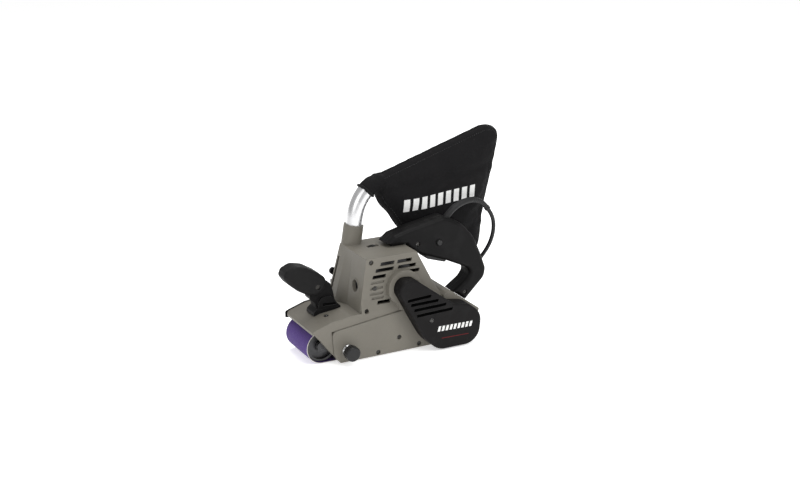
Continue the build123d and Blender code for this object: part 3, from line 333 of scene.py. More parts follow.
class Shade:
    """A Principled material with short calls for the nodes used here.

    Places are in the object's frame.
    """

    def __init__(self, name, metallic=0.0, edge_round=0.0, **sockets):
        self.material = bpy.data.materials.new(name)
        self.material.use_nodes = True
        self.tree = self.material.node_tree
        self.shader = self.tree.nodes["Principled BSDF"]
        self.shader.inputs["Metallic"].default_value = metallic
        for socket, value in sockets.items():
            self.shader.inputs[socket.replace("_", " ")].default_value = value
        self.place = self.add("ShaderNodeTexCoord").outputs["Object"]
        self.normal = None
        self.edge = None
        if edge_round:
            rounded = self.add("ShaderNodeBevel", samples=4)
            rounded.inputs["Radius"].default_value = edge_round
            self.normal = rounded.outputs["Normal"]
            flat = self.add("ShaderNodeNewGeometry").outputs["Normal"]
            dot = self.add("ShaderNodeVectorMath", operation="DOT_PRODUCT")
            self.tree.links.new(self.normal, dot.inputs[0])
            self.tree.links.new(flat, dot.inputs[1])
            bend = self.math("SUBTRACT", 1.0, dot.outputs["Value"])
            self.edge = self.math("MULTIPLY", bend, 6.0, clamp=True)

    def add(self, kind, **settings):
        """A new node with its settings."""
        node = self.tree.nodes.new(kind)
        for key, value in settings.items():
            setattr(node, key, value)
        return node

    def plug(self, value, socket):
        """Sets a socket to a number or colour, or links it to another node's output."""
        if isinstance(value, (int, float)):
            socket.default_value = value
        elif isinstance(value, tuple):
            socket.default_value = (*value, 1) if len(value) == 3 and socket.type == "RGBA" else value
        else:
            self.tree.links.new(value, socket)

    def math(self, operation, first, second=None, clamp=False):
        node = self.add("ShaderNodeMath", operation=operation, use_clamp=clamp)
        self.plug(first, node.inputs[0])
        if second is not None:
            self.plug(second, node.inputs[1])
        return node.outputs["Value"]

    def stretched(self, scales):
        """The place, scaled along each axis."""
        node = self.add("ShaderNodeMapping")
        node.inputs["Scale"].default_value = scales
        self.tree.links.new(self.place, node.inputs["Vector"])
        return node.outputs["Vector"]

    def noise(self, scale, detail, stretch=None):
        node = self.add("ShaderNodeTexNoise")
        node.inputs["Scale"].default_value = scale
        node.inputs["Detail"].default_value = detail
        self.tree.links.new(self.stretched(stretch) if stretch else self.place, node.inputs["Vector"])
        return node.outputs["Fac"]

    def cells(self, scale):
        node = self.add("ShaderNodeTexVoronoi")
        node.inputs["Scale"].default_value = scale
        self.tree.links.new(self.place, node.inputs["Vector"])
        return node.outputs["Distance"]

    def wave(self, scale, direction, distortion):
        node = self.add("ShaderNodeTexWave", bands_direction=direction)
        node.inputs["Scale"].default_value = scale
        node.inputs["Distortion"].default_value = distortion
        self.tree.links.new(self.place, node.inputs["Vector"])
        return node.outputs["Fac"]

    def span(self, value, low, high, to_low=0.0, to_high=1.0):
        """Maps the range from low to high onto another one, clamped."""
        node = self.add("ShaderNodeMapRange")
        for socket, number in zip(node.inputs[1:5], (low, high, to_low, to_high)):
            socket.default_value = number
        self.tree.links.new(value, node.inputs[0])
        return node.outputs[0]

    def mix(self, factor, first, second):
        node = self.add("ShaderNodeMix", data_type="RGBA")
        self.plug(factor, node.inputs[0])
        self.plug(first, node.inputs[6])
        self.plug(second, node.inputs[7])
        return node.outputs[2]

    def along(self, origin, direction):
        """Distance from origin along a direction."""
        shift = self.add("ShaderNodeVectorMath", operation="SUBTRACT")
        self.tree.links.new(self.place, shift.inputs[0])
        shift.inputs[1].default_value = origin
        dot = self.add("ShaderNodeVectorMath", operation="DOT_PRODUCT")
        self.tree.links.new(shift.outputs["Vector"], dot.inputs[0])
        dot.inputs[1].default_value = direction
        return dot.outputs["Value"]

    def facing(self, direction, least):
        """1 where the surface looks along a direction of the object's frame."""
        split = self.add("ShaderNodeVectorMath", operation="DOT_PRODUCT")
        turned = self.add("ShaderNodeTexCoord").outputs["Normal"]
        self.tree.links.new(turned, split.inputs[0])
        split.inputs[1].default_value = direction
        return self.math("GREATER_THAN", split.outputs["Value"], least)

    def within(self, value, low, high):
        """1 where a value lies between two limits."""
        return self.math("MULTIPLY", self.math("GREATER_THAN", value, low),
                         self.math("LESS_THAN", value, high))

    def finish(self, color, rough, heights=()):
        """Links colour, roughness and a chain of (height, strength, distance) bumps."""
        self.plug(color, self.shader.inputs["Base Color"])
        self.plug(rough, self.shader.inputs["Roughness"])
        normal = self.normal
        for height, strength, distance in heights:
            bump = self.add("ShaderNodeBump")
            bump.inputs["Strength"].default_value = strength
            bump.inputs["Distance"].default_value = distance
            self.plug(height, bump.inputs["Height"])
            if normal is not None:
                self.plug(normal, bump.inputs["Normal"])
            normal = bump.outputs["Normal"]
        if normal is not None:
            self.plug(normal, self.shader.inputs["Normal"])
        return self.material


def tinted(color, factor):
    """A colour made darker or lighter."""
    return tuple(channel * factor for channel in color)


def moulded_plastic(name, color, rough, grain=0.25, gloss=0.12, marks=None):
    """Moulded plastic with a spark-eroded grain, faint flow marks, handling dust and rubbed edges."""
    shade = Shade(name, edge_round=PLASTIC_EDGE, Specular_IOR_Level=gloss)
    cloudy = shade.noise(14, 4)
    speckle = shade.noise(900, 2)
    base = shade.mix(shade.span(cloudy, 0.3, 0.7), tinted(color, 0.9), tinted(color, 1.08))
    specks = shade.math("MULTIPLY", shade.span(speckle, 0.35, 0.75), 0.25)
    base = shade.mix(specks, base, tinted(color, 0.78))
    dust = shade.span(shade.noise(38, 5), 0.52, 0.8, 0, 0.16)
    base = shade.mix(dust, base, tuple(0.9 * channel + 0.03 for channel in color))
    rubbed = shade.math("MULTIPLY", shade.edge, shade.span(shade.noise(120, 4), 0.35, 0.65, 0.15, 0.35))
    base = shade.mix(rubbed, base, tuple(0.75 * channel + 0.14 for channel in color))
    roughness = shade.span(shade.noise(26, 4), 0.3, 0.7, rough - 0.06, rough + 0.07)
    if marks:
        for mask, ink in marks(shade):
            base = shade.mix(mask, base, ink)
    pits = shade.noise(1500, 2)
    flow = shade.noise(60, 2)
    return shade.finish(base, roughness, [(pits, grain, 0.0003), (flow, 0.05, 0.001)])


def bars(shade, origin, along, up, pitch, count, half_height, lean, share):
    """Mask of a row of slanted bars on a flat side. share is a bar's part of the pitch."""
    run = shade.along(origin, along)
    rise = shade.along(origin, up)
    slanted = shade.math("SUBTRACT", run, shade.math("MULTIPLY", rise, lean))
    inside = shade.within(slanted, 0.0, pitch * (count - 1 + share))
    low = shade.within(rise, -half_height, half_height)
    tooth = shade.math("LESS_THAN", shade.math("FRACT", shade.math("DIVIDE", slanted, pitch)), share)
    mask = shade.math("MULTIPLY", shade.math("MULTIPLY", inside, low), tooth)
    return shade.math("MULTIPLY", mask, shade.facing(DRIVE_SIDE, 0.25))


def cover_marks(shade):
    """Pale slanted bars over a thin red line, in place of the maker's print."""
    across = Vector((1, 0, -0.02)).normalized()
    upward = Vector((0.02, 0, 1)).normalized()
    row = bars(
        shade, (0.077, COVER_FACE_Y, 0.0362), across, upward,
        pitch=0.0068, count=9, half_height=0.0041, lean=0.25, share=0.62,
    )
    line_start = (0.083, COVER_FACE_Y, 0.0205)
    run = shade.along(line_start, across)
    rise = shade.along(line_start, upward)
    line = shade.math("MULTIPLY", shade.within(run, 0, 0.047), shade.within(rise, -0.0006, 0.0006))
    line = shade.math("MULTIPLY", line, shade.facing(DRIVE_SIDE, 0.25))
    worn_print = shade.span(shade.noise(420, 3), 0.3, 0.5, 0.55, 1.0)
    return [
        (shade.math("MULTIPLY", row, worn_print), COVER_INK),
        (line, COVER_RED),
    ]


def metal(name, color, rough, streak=(1, 1, 1), worn=0.2):
    """Bare or plated metal with fine tool streaks, smudges and bright edges."""
    shade = Shade(name, metallic=1.0, edge_round=METAL_EDGE)
    smudge = shade.noise(30, 4)
    lines = shade.noise(260, 3, stretch=streak)
    base = shade.mix(shade.span(smudge, 0.3, 0.7), tinted(color, 0.82), color)
    base = shade.mix(shade.math("MULTIPLY", shade.span(lines, 0.4, 0.7), 0.2), base, tinted(color, 0.6))
    base = shade.mix(shade.math("MULTIPLY", shade.edge, worn), base, (0.86, 0.86, 0.85))
    roughness = shade.math("ADD", shade.span(smudge, 0.25, 0.75, rough - 0.05, rough + 0.09),
                           shade.span(lines, 0.3, 0.7, -0.03, 0.05))
    return shade.finish(base, roughness, [(lines, 0.12, 0.0002)])


def abrasive():
    """Ceramic grit on cloth: purple with dark grains, lighter specks as painted glints, and a pale cut edge.
    """
    color = (0.060, 0.024, 0.175)
    shade = Shade("abrasive_belt")
    grains = shade.cells(1700)
    fine = shade.noise(2600, 2)
    worn = shade.noise(22, 4, stretch=(1, 0.25, 1))
    base = shade.mix(shade.span(worn, 0.3, 0.7), tinted(color, 0.85), tinted(color, 1.15))
    base = shade.mix(shade.span(grains, 0.0, 0.6, 0.55, 0.0), base, tinted(color, 0.35))
    # Lighter purple specks: painted glints on the grit
    base = shade.mix(shade.span(fine, 0.62, 0.75, 0, 0.3), base, (0.18, 0.12, 0.36))
    side = shade.math("MAXIMUM", shade.facing(DRIVE_SIDE, 0.7), shade.facing(FAN_SIDE, 0.7))
    threads = shade.noise(700, 3)
    cloth = shade.mix(shade.span(threads, 0.3, 0.7), (0.42, 0.40, 0.36), (0.72, 0.70, 0.64))
    base = shade.mix(side, base, cloth)
    return shade.finish(base, shade.span(fine, 0.3, 0.7, 0.62, 0.9),
                        [(grains, 0.9, 0.0005), (fine, 0.5, 0.0003)])


def rubber(name, color, rough, grain):
    """Black rubber with a dull bloom and fine scuffs."""
    shade = Shade(name, Specular_IOR_Level=0.25)
    bloom = shade.noise(24, 4)
    scuff = shade.noise(300, 4)
    bloomed = tuple(channel * 1.3 + 0.006 for channel in color)
    base = shade.mix(shade.span(bloom, 0.3, 0.75), color, bloomed)
    base = shade.mix(shade.span(scuff, 0.6, 0.8, 0, 0.25), base,
                     tuple(channel * 1.2 + 0.03 for channel in color))
    return shade.finish(base, shade.span(bloom, 0.3, 0.7, rough - 0.08, rough + 0.1),
                        [(shade.noise(1100, 2), grain, 0.0002), (scuff, 0.08, 0.0004)])


def graphite():
    """Soft dark graphite with a burnished shine in streaks."""
    shade = Shade("graphite")
    streaks = shade.noise(160, 4, stretch=(1, 6, 1))
    base = shade.mix(shade.span(streaks, 0.3, 0.7), (0.035, 0.035, 0.037), (0.09, 0.09, 0.092))
    return shade.finish(base, shade.span(streaks, 0.3, 0.7, 0.3, 0.55), [(streaks, 0.2, 0.0003)])


def copper_wire():
    """Enamelled copper windings, laid side by side, darker in the grooves between wires as painted shade."""
    shade = Shade("copper", metallic=1.0)
    strands = shade.wave(420, "Y", 1.5)
    # Dark copper in the grooves between the wires: painted shade
    base = shade.mix(strands, (0.36, 0.12, 0.05), (0.78, 0.36, 0.18))
    roughness = shade.span(shade.noise(90, 3), 0.3, 0.7, 0.25, 0.42)
    return shade.finish(base, roughness, [(strands, 0.6, 0.0006)])


def bag_marks(shade):
    """A row of pale slanted bars on the near face, in place of the maker's print."""
    tilt = radians(5)
    across = (cos(tilt), 0, sin(tilt))
    upward = (-sin(tilt), 0, cos(tilt))
    mask = bars(
        shade, (0.0745, BAG_Y, 0.2005), across, upward,
        pitch=0.0142, count=9, half_height=0.0098, lean=0.12, share=0.64,
    )
    threads = shade.span(shade.noise(1500, 2), 0.25, 0.45, 0.6, 1.0)
    return shade.math("MULTIPLY", mask, threads)


def fabric(name, color, thread=0.0007, fuzz=0.0, marks=None):
    """Plain woven polyester: two crossed sets of threads with painted shade in the hollows of the weave,
    faded folds and lint.
    """
    shade = Shade(name, Sheen_Weight=fuzz, Sheen_Roughness=0.45, Specular_IOR_Level=0.1)
    scale = 1 / thread / 3.2
    warp = shade.wave(scale, "X", 0.6)
    weft = shade.wave(scale, "Z", 0.6)
    depth = shade.wave(scale, "Y", 0.6)
    weave = shade.math("MAXIMUM", shade.math("MULTIPLY", warp, weft), shade.math("MULTIPLY", depth, 0.4))
    fade = shade.noise(9, 5)
    # The weave as colour: darker in the hollows between threads, painted shade
    base = shade.mix(shade.span(weave, 0.0, 0.6), tinted(color, 0.55), tinted(color, 1.1))
    base = shade.mix(shade.span(fade, 0.4, 0.75, 0, 0.5), base, tuple(c * 1.3 + 0.002 for c in color))
    lint = shade.span(shade.noise(240, 2), 0.72, 0.8, 0, 0.35)
    base = shade.mix(lint, base, (0.05, 0.05, 0.05))
    if marks:
        base = shade.mix(marks(shade), base, PRINT_INK)
    return shade.finish(base, shade.span(fade, 0.3, 0.7, 0.72, 0.88),
                        [(shade.noise(45, 4), 0.25, 0.004), (weave, 0.5, 0.0004)])


def make_materials():
    """Every material, by the record's slot name or a finer name of its own."""
    black = (0.0050, 0.0048, 0.0050)
    return {
        "housing_grey": moulded_plastic("housing_grey", (0.160, 0.149, 0.125), 0.48, gloss=0.3),
        "black_plastic": moulded_plastic("black_plastic", black, 0.5),
        "cover_plastic": moulded_plastic("cover_plastic", (0.0062, 0.0056, 0.0057), 0.55, marks=cover_marks),
        "grip_plastic": moulded_plastic("grip_plastic", (0.0095, 0.0093, 0.0095), 0.58, grain=0.6),
        "knob_plastic": moulded_plastic("knob_plastic", (0.011, 0.011, 0.0115), 0.34, grain=0.1, gloss=0.3),
        # Near-black: the switches' own plastic, and the painted shade of the sheet behind the cover's slots
        "switch_and_shade_sheet_plastic": moulded_plastic("switch_and_shade_sheet_plastic", (0.003, 0.003, 0.003), 0.8, gloss=0.02),
        "abrasive_belt": abrasive(),
        "aluminium_tube": metal("aluminium_tube", (0.80, 0.80, 0.81), 0.26, streak=(1, 1, 0.12), worn=0.1),
        "cast_metal": metal("cast_metal", (0.42, 0.42, 0.43), 0.45),
        "roller_metal": metal("roller_metal", (0.085, 0.085, 0.088), 0.42, streak=(1, 0.08, 1)),
        "bright_steel": metal("bright_steel", (0.62, 0.62, 0.61), 0.24, streak=(1, 0.15, 1)),
        "chrome_ring": metal("chrome_ring", (0.80, 0.80, 0.80), 0.12, streak=(1, 0.3, 1)),
        "lamination": metal("lamination", (0.34, 0.34, 0.35), 0.38, streak=(1, 14, 1)),
        "dark_steel": metal("dark_steel", (0.055, 0.053, 0.05), 0.38, worn=0.45),
        "copper": copper_wire(),
        "commutator_copper": metal("commutator_copper", (0.72, 0.38, 0.22), 0.28, streak=(1, 0.1, 1)),
        "brass": metal("brass", (0.74, 0.55, 0.24), 0.27),
        "graphite": graphite(),
        "rubber": rubber("rubber", (0.018, 0.018, 0.018), 0.68, 0.35),
        "bag_fabric": fabric("bag_fabric", (0.0085, 0.0082, 0.0088), marks=bag_marks),
        "hem_fabric": fabric("hem_fabric", (0.010, 0.010, 0.0105), 0.0005, 0.06),
        "thread": fabric("thread", (0.035, 0.035, 0.037), 0.0002, 0.3),
        "cord_rubber": rubber("cord_rubber", (0.009, 0.009, 0.0095), 0.42, 0.12),
        "sleeve_rubber": rubber("sleeve_rubber", (0.011, 0.011, 0.0115), 0.52, 0.2),
        "tie_fabric": fabric("tie_fabric", (0.03, 0.03, 0.032), 0.0004, 0.6),
    }


# Nodes whose material is finer than their record slot's
NODE_MATERIAL = {
    "drive_belt_cover": "cover_plastic",
    "front_handle": "grip_plastic",
    "tracking_knob": "knob_plastic",
    "trigger": "knob_plastic",
    "lock_button": "knob_plastic",
    "power_switch": "switch_and_shade_sheet_plastic",
    "speed_control": "switch_and_shade_sheet_plastic",
    "front_roller": "roller_metal",
    "front_axle": "roller_metal",
    "roller_yoke": "roller_metal",
    "drive_roller": "cast_metal",
    "motor_pulley": "cast_metal",
    "driven_pulley": "cast_metal",
    "bearing_plate": "roller_metal",
    "knob_spring_ring": "chrome_ring",
    "armature_core": "lamination",
    "field_core": "lamination",
    "commutator": "commutator_copper",
}


def paint(obj, material):
    """Gives a piece one material."""
    obj.data.materials.clear()
    obj.data.materials.append(material)


def paint_nodes(materials):
    """Gives each CAD node its material, by its own entry or by its slot in the record."""
    slots = {part["node"]: part["material_slot"] for part in frame["record"]["subparts"]}
    for name, obj in nodes.items():
        material = materials[NODE_MATERIAL.get(name, slots[name])]
        if not obj.data.materials:
            obj.data.materials.append(material)
        for number in range(len(obj.data.materials)):
            obj.data.materials[number] = material
        obj.data.update()


# ---------------------------------------------------------------- cord, sleeve, strap

SLEEVE_BASE_R = 0.00525
SLEEVE_END_R = 0.0041
SLEEVE_STEP = 0.0007
SLEEVE_RIBS = 9
RIBS_FROM = 0.62
RIBS_TO = 0.95
RIB_DEPTH = 0.00045
COLLAR_FROM = 0.965
COLLAR_RISE = 0.0005
STRAP_HALF_WIDE = 0.005
STRAP_THICK = 0.0011
STRAP_CORNER_R = 0.0035
STRAP_BEVEL = 0.0002


def make_cord(materials):
    """The cord from the sleeve's end to the plug, with its put-away turns, in one spline."""
    points = [*CORD_ROUTE, *coil_points(), *COIL_TAIL]
    cord = nurbs_line("power_cord_line", points, CORD_D / 2)
    cord.data.materials.append(materials["cord_rubber"])
    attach(cord, "frame")
    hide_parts("power_cord", "cord_coil")
    sleeve = make_sleeve(materials)
    strap = make_strap(materials)


def sleeve_radius(share):
    """Plain tapered neck, then ribs, then a small collar at the end."""
    radius = SLEEVE_BASE_R + (SLEEVE_END_R - SLEEVE_BASE_R) * share
    if RIBS_FROM < share < RIBS_TO:
        turn = (share - RIBS_FROM) / (RIBS_TO - RIBS_FROM) * SLEEVE_RIBS
        radius -= RIB_DEPTH * (0.5 - 0.5 * cos(2 * pi * turn))
    if share > COLLAR_FROM:
        radius += COLLAR_RISE
    return radius


def make_sleeve(materials):
    """Tapered strain relief that follows its own smooth line."""
    line = resample(line_points(SLEEVE_ROUTE), SLEEVE_STEP)
    line[-1] = Vector(SLEEVE_ROUTE[-1])
    sleeve = tube_piece("cord_sleeve_taper", line, sleeve_radius, sides=28)
    paint(sleeve, materials["sleeve_rubber"])
    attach(sleeve, "frame")
    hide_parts("cord_sleeve")
    return sleeve


def make_strap(materials):
    """Hook-and-loop strap round the coil's turns, as a closed band with rounded corners."""
    low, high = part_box("coil_tie")
    middle = (low + high) / 2
    half_y = (high.y - low.y) / 2 - STRAP_THICK / 2
    half_z = (high.z - low.z) / 2 - STRAP_THICK / 2
    outline = []
    for quarter in range(4):
        centre_y = (half_y - STRAP_CORNER_R) * (1 if quarter in (0, 3) else -1)
        centre_z = (half_z - STRAP_CORNER_R) * (1 if quarter in (0, 1) else -1)
        for step in range(7):
            angle = radians(90 * quarter + 15 * step)
            outline.append((
                centre_y + STRAP_CORNER_R * cos(angle),
                centre_z + STRAP_CORNER_R * sin(angle),
            ))
    bm = bmesh.new()
    rows = []
    wide = Vector((STRAP_HALF_WIDE, 0, 0))
    corners = ((-1, -1), (-1, 1), (1, 1), (1, -1))
    for y, z in outline:
        out = Vector((0, y, z)).normalized() * STRAP_THICK / 2
        base = Vector((middle.x, middle.y + y, middle.z + z))
        rows.append([bm.verts.new(base + a * wide + b * out) for a, b in corners])
    for one, two in zip(rows, rows[1:] + rows[:1]):
        for k in range(4):
            bm.faces.new((one[k], one[(k + 1) % 4], two[(k + 1) % 4], two[k]))
    strap = new_piece("coil_strap", bm, smooth=False)
    bevel = strap.modifiers.new("edges", "BEVEL")
    bevel.width = STRAP_BEVEL
    paint(strap, materials["tie_fabric"])
    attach(strap, "frame")
    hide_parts("coil_tie")
    return strap


# ---------------------------------------------------------------- dust bag

BAG_HALF = 0.021
BAG_OUTLINE = [
    (0.024, 0.244), (0.057, 0.255), (0.226, 0.3085), (0.2535, 0.301), (0.247, 0.262), (0.227, 0.178),
    (0.219, 0.106), (0.200, 0.103), (0.106, 0.135), (0.073, 0.163), (0.057, 0.190), (0.043, 0.203),
]
BAG_ROUNDING = [0.010, 0.040, 0.020, 0.015, 0.060, 0.060, 0.014, 0.020, 0.040, 0.040, 0.040, 0.012]
BAG_MIDDLE = Vector((0.14, BAG_Y, 0.21))
RIM_HALF = 0.004  # half the gap between the panels at the rim, before the cloth pass
PANEL_SWELL = 0.0155  # how much further out the middle of a panel stands
PANEL_RISE = 0.034  # distance from the rim over which a panel swells to its full height
PANEL_VOXEL = 0.005
CLOTH_VOXEL = 0.0045
CLOTH_FRAMES = 20
TRAVEL_CAP = 0.009

# The dust tube's centre line: straight up the tilted collar, then round the elbow
COLLAR_TILT = 9.2
COLLAR_FOOT = Vector((-0.0115, 0.034, 0.150))
COLLAR_RUN = 0.045
ELBOW_R = 0.070
ELBOW_START = COLLAR_FOOT + COLLAR_RUN * Vector((sin(radians(COLLAR_TILT)), 0, cos(radians(COLLAR_TILT))))
ELBOW_TURN = 40
CUFF_TURN = 31
CUFF_R = 0.0146
CUFF_NARROWING = 0.0012
THROAT_RISE = radians(14)
THROAT_STEP = 0.008
HEM_TURN = 34.5
HEM_R = 0.0136
HEM_THICK_R = 0.0021
HEM_POINTS = 96

SEAM_STEP = 0.002
BINDING_R = 0.0011
STITCH_R = 0.00028
STITCH_INSET = 0.0055
STITCH_LIFT = 0.0001
LONGEST_STITCH = 0.004
THROAT_CLEAR = 0.026


def rounded(points, radii):
    """Closed outline with each corner replaced by an arc."""
    found = []
    count = len(points)
    for i, corner in enumerate(points):
        corner = Vector(corner)
        before = (Vector(points[i - 1]) - corner).normalized()
        after = (Vector(points[(i + 1) % count]) - corner).normalized()
        half = before.angle(after) / 2
        reach = radii[i] / math.tan(half)
        centre = corner + (before + after).normalized() * (radii[i] / sin(half))
        start, end = corner + before * reach - centre, corner + after * reach - centre
        sweep = start.angle_signed(end)
        steps = max(2, int(abs(sweep) / radians(12)))
        for step in range(steps + 1):
            turn = -sweep * step / steps
            found.append((
                centre.x + start.x * cos(turn) - start.y * sin(turn),
                centre.y + start.x * sin(turn) + start.y * cos(turn),
            ))
    return found


def elbow_point(turned):
    """Point on the dust tube's centre line after turning by an angle in degrees."""
    tilt = radians(COLLAR_TILT)
    centre = ELBOW_START + ELBOW_R * Vector((cos(tilt), 0, -sin(tilt)))
    angle = pi - tilt - radians(turned)
    return centre + ELBOW_R * Vector((cos(angle), 0, sin(angle)))


def elbow_direction(turned):
    """Direction of the dust tube's centre line after turning by an angle in degrees."""
    angle = radians(COLLAR_TILT + turned)
    return Vector((sin(angle), 0, cos(angle)))


def edge_distance(outline, x, z):
    """Distance from a point to a closed outline."""
    nearest = 1.0
    for (ax, az), (bx, bz) in zip(outline, outline[1:] + outline[:1]):
        dx, dz = bx - ax, bz - az
        share = ((x - ax) * dx + (z - az) * dz) / max(1e-12, dx * dx + dz * dz)
        share = max(0.0, min(1.0, share))
        nearest = min(nearest, math.hypot(x - ax - share * dx, z - az - share * dz))
    return nearest


def voxel_remesh(obj, size):
    """Remakes a piece's mesh as an even skin."""
    modifier = obj.modifiers.new("remesh", "REMESH")
    modifier.mode = "VOXEL"
    modifier.voxel_size = size
    apply_modifiers(obj)


def apply_modifiers(obj):
    """Bakes the modifiers of an object into its mesh."""
    bpy.context.view_layer.update()
    graph = bpy.context.evaluated_depsgraph_get()
    mesh = bpy.data.meshes.new_from_object(obj.evaluated_get(graph))
    obj.modifiers.clear()
    obj.data = mesh


def bag_start(outline):
    """The bag before it is blown up: two panels that meet at a rim, with the cuff's throat."""
    bag = prism_piece("dust_bag_cloth", outline, BAG_Y - BAG_HALF, BAG_Y + BAG_HALF)
    voxel_remesh(bag, PANEL_VOXEL)
    for vertex in bag.data.vertices:
        x, y, z = vertex.co
        inset = edge_distance(outline, x, z)
        full = math.sqrt(1 - (1 - min(1.0, inset / PANEL_RISE)) ** 2)
        side = (y - BAG_Y) / BAG_HALF
        vertex.co.y = BAG_Y + side * (RIM_HALF + PANEL_SWELL * full)
    # Throat round the tube's end
    bm = bmesh.new()
    bm.from_mesh(bag.data)
    middle = elbow_point(ELBOW_TURN)
    inward = Vector((cos(THROAT_RISE), 0, sin(THROAT_RISE)))
    arc = [elbow_point(CUFF_TURN + (ELBOW_TURN - CUFF_TURN) * k / 4) for k in range(5)]
    neck_y = Vector((0, (BAG_Y - middle.y) / 2, 0))
    run = [middle + (inward * THROAT_STEP + neck_y * 0.5) * k for k in range(1, 4)]
    tube_into(bm, [*arc, *run], lambda share: CUFF_R - CUFF_NARROWING * share, sides=32)
    bmesh.ops.recalc_face_normals(bm, faces=bm.faces)
    bm.to_mesh(bag.data)
    bm.free()
    voxel_remesh(bag, CLOTH_VOXEL)
    return bag


def blow_up(bag, outline):
    """Cloth pass: pressure from inside, with the cuff and the rim held.

    Each point's travel is capped.
    """
    rest = [v.co.copy() for v in bag.data.vertices]
    mouth = elbow_point(CUFF_TURN)
    held = bag.vertex_groups.new(name="held")
    for vertex in bag.data.vertices:
        rim = 1 - smooth_step((edge_distance(outline, vertex.co.x, vertex.co.z) - 0.004) / 0.012)
        near = max(rim, 1 - smooth_step(((vertex.co - mouth).length - 0.026) / 0.020))
        if near > 0:
            held.add([vertex.index], near, "REPLACE")
    cloth = bag.modifiers.new("cloth", "CLOTH")
    settings = cloth.settings
    settings.quality = 6
    settings.mass = 0.25
    settings.tension_stiffness = 18
    settings.compression_stiffness = 18
    settings.shear_stiffness = 6
    settings.bending_stiffness = 0.4
    settings.use_pressure = True
    settings.uniform_pressure_force = 4
    settings.shrink_min = -0.05
    settings.effector_weights.gravity = 0
    settings.vertex_group_mass = "held"
    cloth.collision_settings.use_collision = False
    cloth.point_cache.frame_start = 1
    cloth.point_cache.frame_end = CLOTH_FRAMES
    for number in range(1, CLOTH_FRAMES + 1):
        scene.frame_set(number)
    apply_modifiers(bag)
    scene.frame_set(1)
    for vertex, start in zip(bag.data.vertices, rest):
        moved = vertex.co - start
        if moved.length > TRAVEL_CAP:
            vertex.co = start + moved.normalized() * TRAVEL_CAP


def fold_amount(x, z):
    """Depth of the soft folds that run back from the cuff, by the place on a panel."""
    run = (x - 0.05) / 0.19
    if not -0.1 < run < 1.1:
        return 0.0
    fade = smooth_step(run * 4 + 0.3) * smooth_step((1.15 - run) * 4)
    first = z - (0.2255 + 0.034 * run - 0.012 * run * run)
    second = z - (0.196 - 0.03 * run)
    valley = 0.0022 * math.exp(-(first / 0.0055) ** 2)
    ridge = 0.0012 * math.exp(-((first - 0.011) / 0.008) ** 2)
    depth = valley - ridge
    return fade * (depth + 0.0009 * math.exp(-(second / 0.009) ** 2))


def wrinkle(bag, outline):
    """Folds, small puckers along the rim, and slow waves in the panels."""
    mesh = bag.data
    normals = [v.normal.copy() for v in mesh.vertices]
    for vertex, normal in zip(mesh.vertices, normals):
        x, y, z = vertex.co
        inset = edge_distance(outline, x, z)
        panel = smooth_step((inset - 0.004) / 0.02)
        pucker = math.exp(-((inset - 0.008) / 0.007) ** 2)
        wave = noise.noise(Vector((x * 95, y * 20, z * 95)))
        slow = noise.noise(Vector((x * 22, 3.0 + y * 8, z * 22)))
        shift = -fold_amount(x, z) * panel + 0.0011 * pucker * wave + 0.0016 * panel * slow
        vertex.co += normal * shift
    mesh.update()


def make_bag(materials):
    """The fabric bag, its rim seam with stitches, and the hem of its cuff."""
    outline = rounded(BAG_OUTLINE, BAG_ROUNDING)
    bag = bag_start(outline)
    blow_up(bag, outline)
    smooth = bag.modifiers.new("smooth", "SMOOTH")
    smooth.factor = 0.5
    smooth.iterations = 3
    subdivide = bag.modifiers.new("fine", "SUBSURF")
    subdivide.levels = 1
    subdivide.render_levels = 1
    apply_modifiers(bag)
    wrinkle(bag, outline)
    for polygon in bag.data.polygons:
        polygon.use_smooth = True
    paint(bag, materials["bag_fabric"])
    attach(bag, "dust_outlet")
    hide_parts("dust_bag")
    make_seam(bag, outline, materials)
    make_hem(materials)


def surface_line(bag, outline):
    """Points on the bag's rim, all the way round, each with its outward direction."""
    tree = BVHTree.FromObject(bag, bpy.context.evaluated_depsgraph_get())
    closed = resample([(x, BAG_Y, z) for x, z in [*outline, outline[0]]], SEAM_STEP)
    found = []
    for i, point in enumerate(closed):
        ahead = (closed[(i + 1) % len(closed)] - closed[i - 1]).normalized()
        out = Vector((ahead.z, 0, -ahead.x))
        if out.dot(point - BAG_MIDDLE) < 0:
            out = -out
        hit, _, _, _ = tree.ray_cast(point + out * 0.03, -out, 0.06)
        if hit is not None:
            found.append((hit, out))
    return found


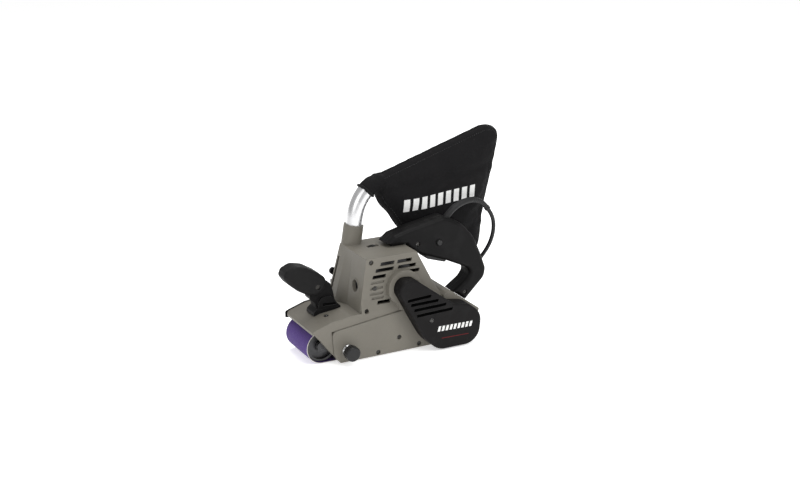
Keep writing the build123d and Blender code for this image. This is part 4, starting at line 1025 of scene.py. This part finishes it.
def make_seam(bag, outline, materials):
    """Bound edge round the bag's rim, with lock stitches beside it."""
    line = surface_line(bag, outline)
    throat = elbow_point(ELBOW_TURN)
    line = [(p, out) for p, out in line if (p - throat).length > THROAT_CLEAR]
    gap = max(range(len(line)), key=lambda i: (line[i][0] - line[i - 1][0]).length)
    line = line[gap:] + line[:gap]
    smooth = []
    for i in range(len(line)):
        near = [p for p, _ in line[max(0, i - 3):i + 4]]
        smooth.append(sum(near, Vector()) / len(near))
    binding = tube_piece("bag_binding", smooth, lambda share: BINDING_R, sides=10)
    paint(binding, materials["hem_fabric"])
    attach(binding, "dust_outlet")
    tree = BVHTree.FromObject(bag, bpy.context.evaluated_depsgraph_get())
    bm = bmesh.new()
    for side in (-1, 1):
        for i in range(2, len(smooth) - 3, 2):
            ends = []
            for k in (i, i + 1):
                at = smooth[k] - line[k][1] * STITCH_INSET
                hit, normal, _, _ = tree.ray_cast(at + Vector((0, side * 0.03, 0)), Vector((0, -side, 0)))
                if hit is not None:
                    ends.append(hit + normal * STITCH_LIFT)
            if len(ends) == 2 and (ends[0] - ends[1]).length < LONGEST_STITCH:
                thread = [ends[0], ends[0].lerp(ends[1], 0.35), ends[0].lerp(ends[1], 0.7)]
                tube_into(bm, thread, lambda share: STITCH_R, sides=6)
    stitches = new_piece("bag_stitches", bm)
    paint(stitches, materials["thread"])
    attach(stitches, "dust_outlet")


def make_hem(materials):
    """Rolled hem at the cuff's mouth, with the wire clip sewn in, gathered round the tube."""
    centre = elbow_point(HEM_TURN)
    ahead = elbow_direction(HEM_TURN)
    side = Vector((0, 1, 0))
    up = ahead.cross(side)
    ring = []
    for k in range(HEM_POINTS):
        angle = 2 * pi * k / HEM_POINTS
        radius = HEM_R + 0.0003 * sin(9 * angle) * sin(4 * angle)
        lean = 0.0005 * sin(3 * angle + 1)
        ring.append(centre + (side * cos(angle) + up * sin(angle)) * radius + ahead * lean)
    hem = tube_piece("bag_cuff_hem", ring, lambda share: HEM_THICK_R, sides=14, closed=True)
    paint(hem, materials["hem_fabric"])
    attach(hem, "dust_outlet")
    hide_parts("bag_neck_clip")


# ---------------------------------------------------------------- painted shade behind the cover slots

SHADE_SHEET_OUTLINE = [
    (0.0225, 0.0945), (0.064, 0.0960), (0.1030, 0.0675),
    (0.1030, 0.0590), (0.0400, 0.0590), (0.0245, 0.0850),
]
SHADE_SHEET_NEAR_Y = -0.0748
SHADE_SHEET_THICK = 0.0006


def make_slot_shade_sheet(materials):
    """Dark sheet inside the drive belt cover, close behind its four slots: painted shade seen through them.
    """
    shade_sheet = prism_piece("cover_slot_shade_sheet", SHADE_SHEET_OUTLINE, SHADE_SHEET_NEAR_Y,
                         SHADE_SHEET_NEAR_Y + SHADE_SHEET_THICK, smooth=False)
    paint(shade_sheet, materials["switch_and_shade_sheet_plastic"])
    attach(shade_sheet, "frame")


# ---------------------------------------------------------------- build

make_camera()
make_studio()
materials = make_materials()
make_cord(materials)
paint_nodes(materials)
make_bag(materials)
# Dark sheet behind the cover's slots: painted shade
make_slot_shade_sheet(materials)
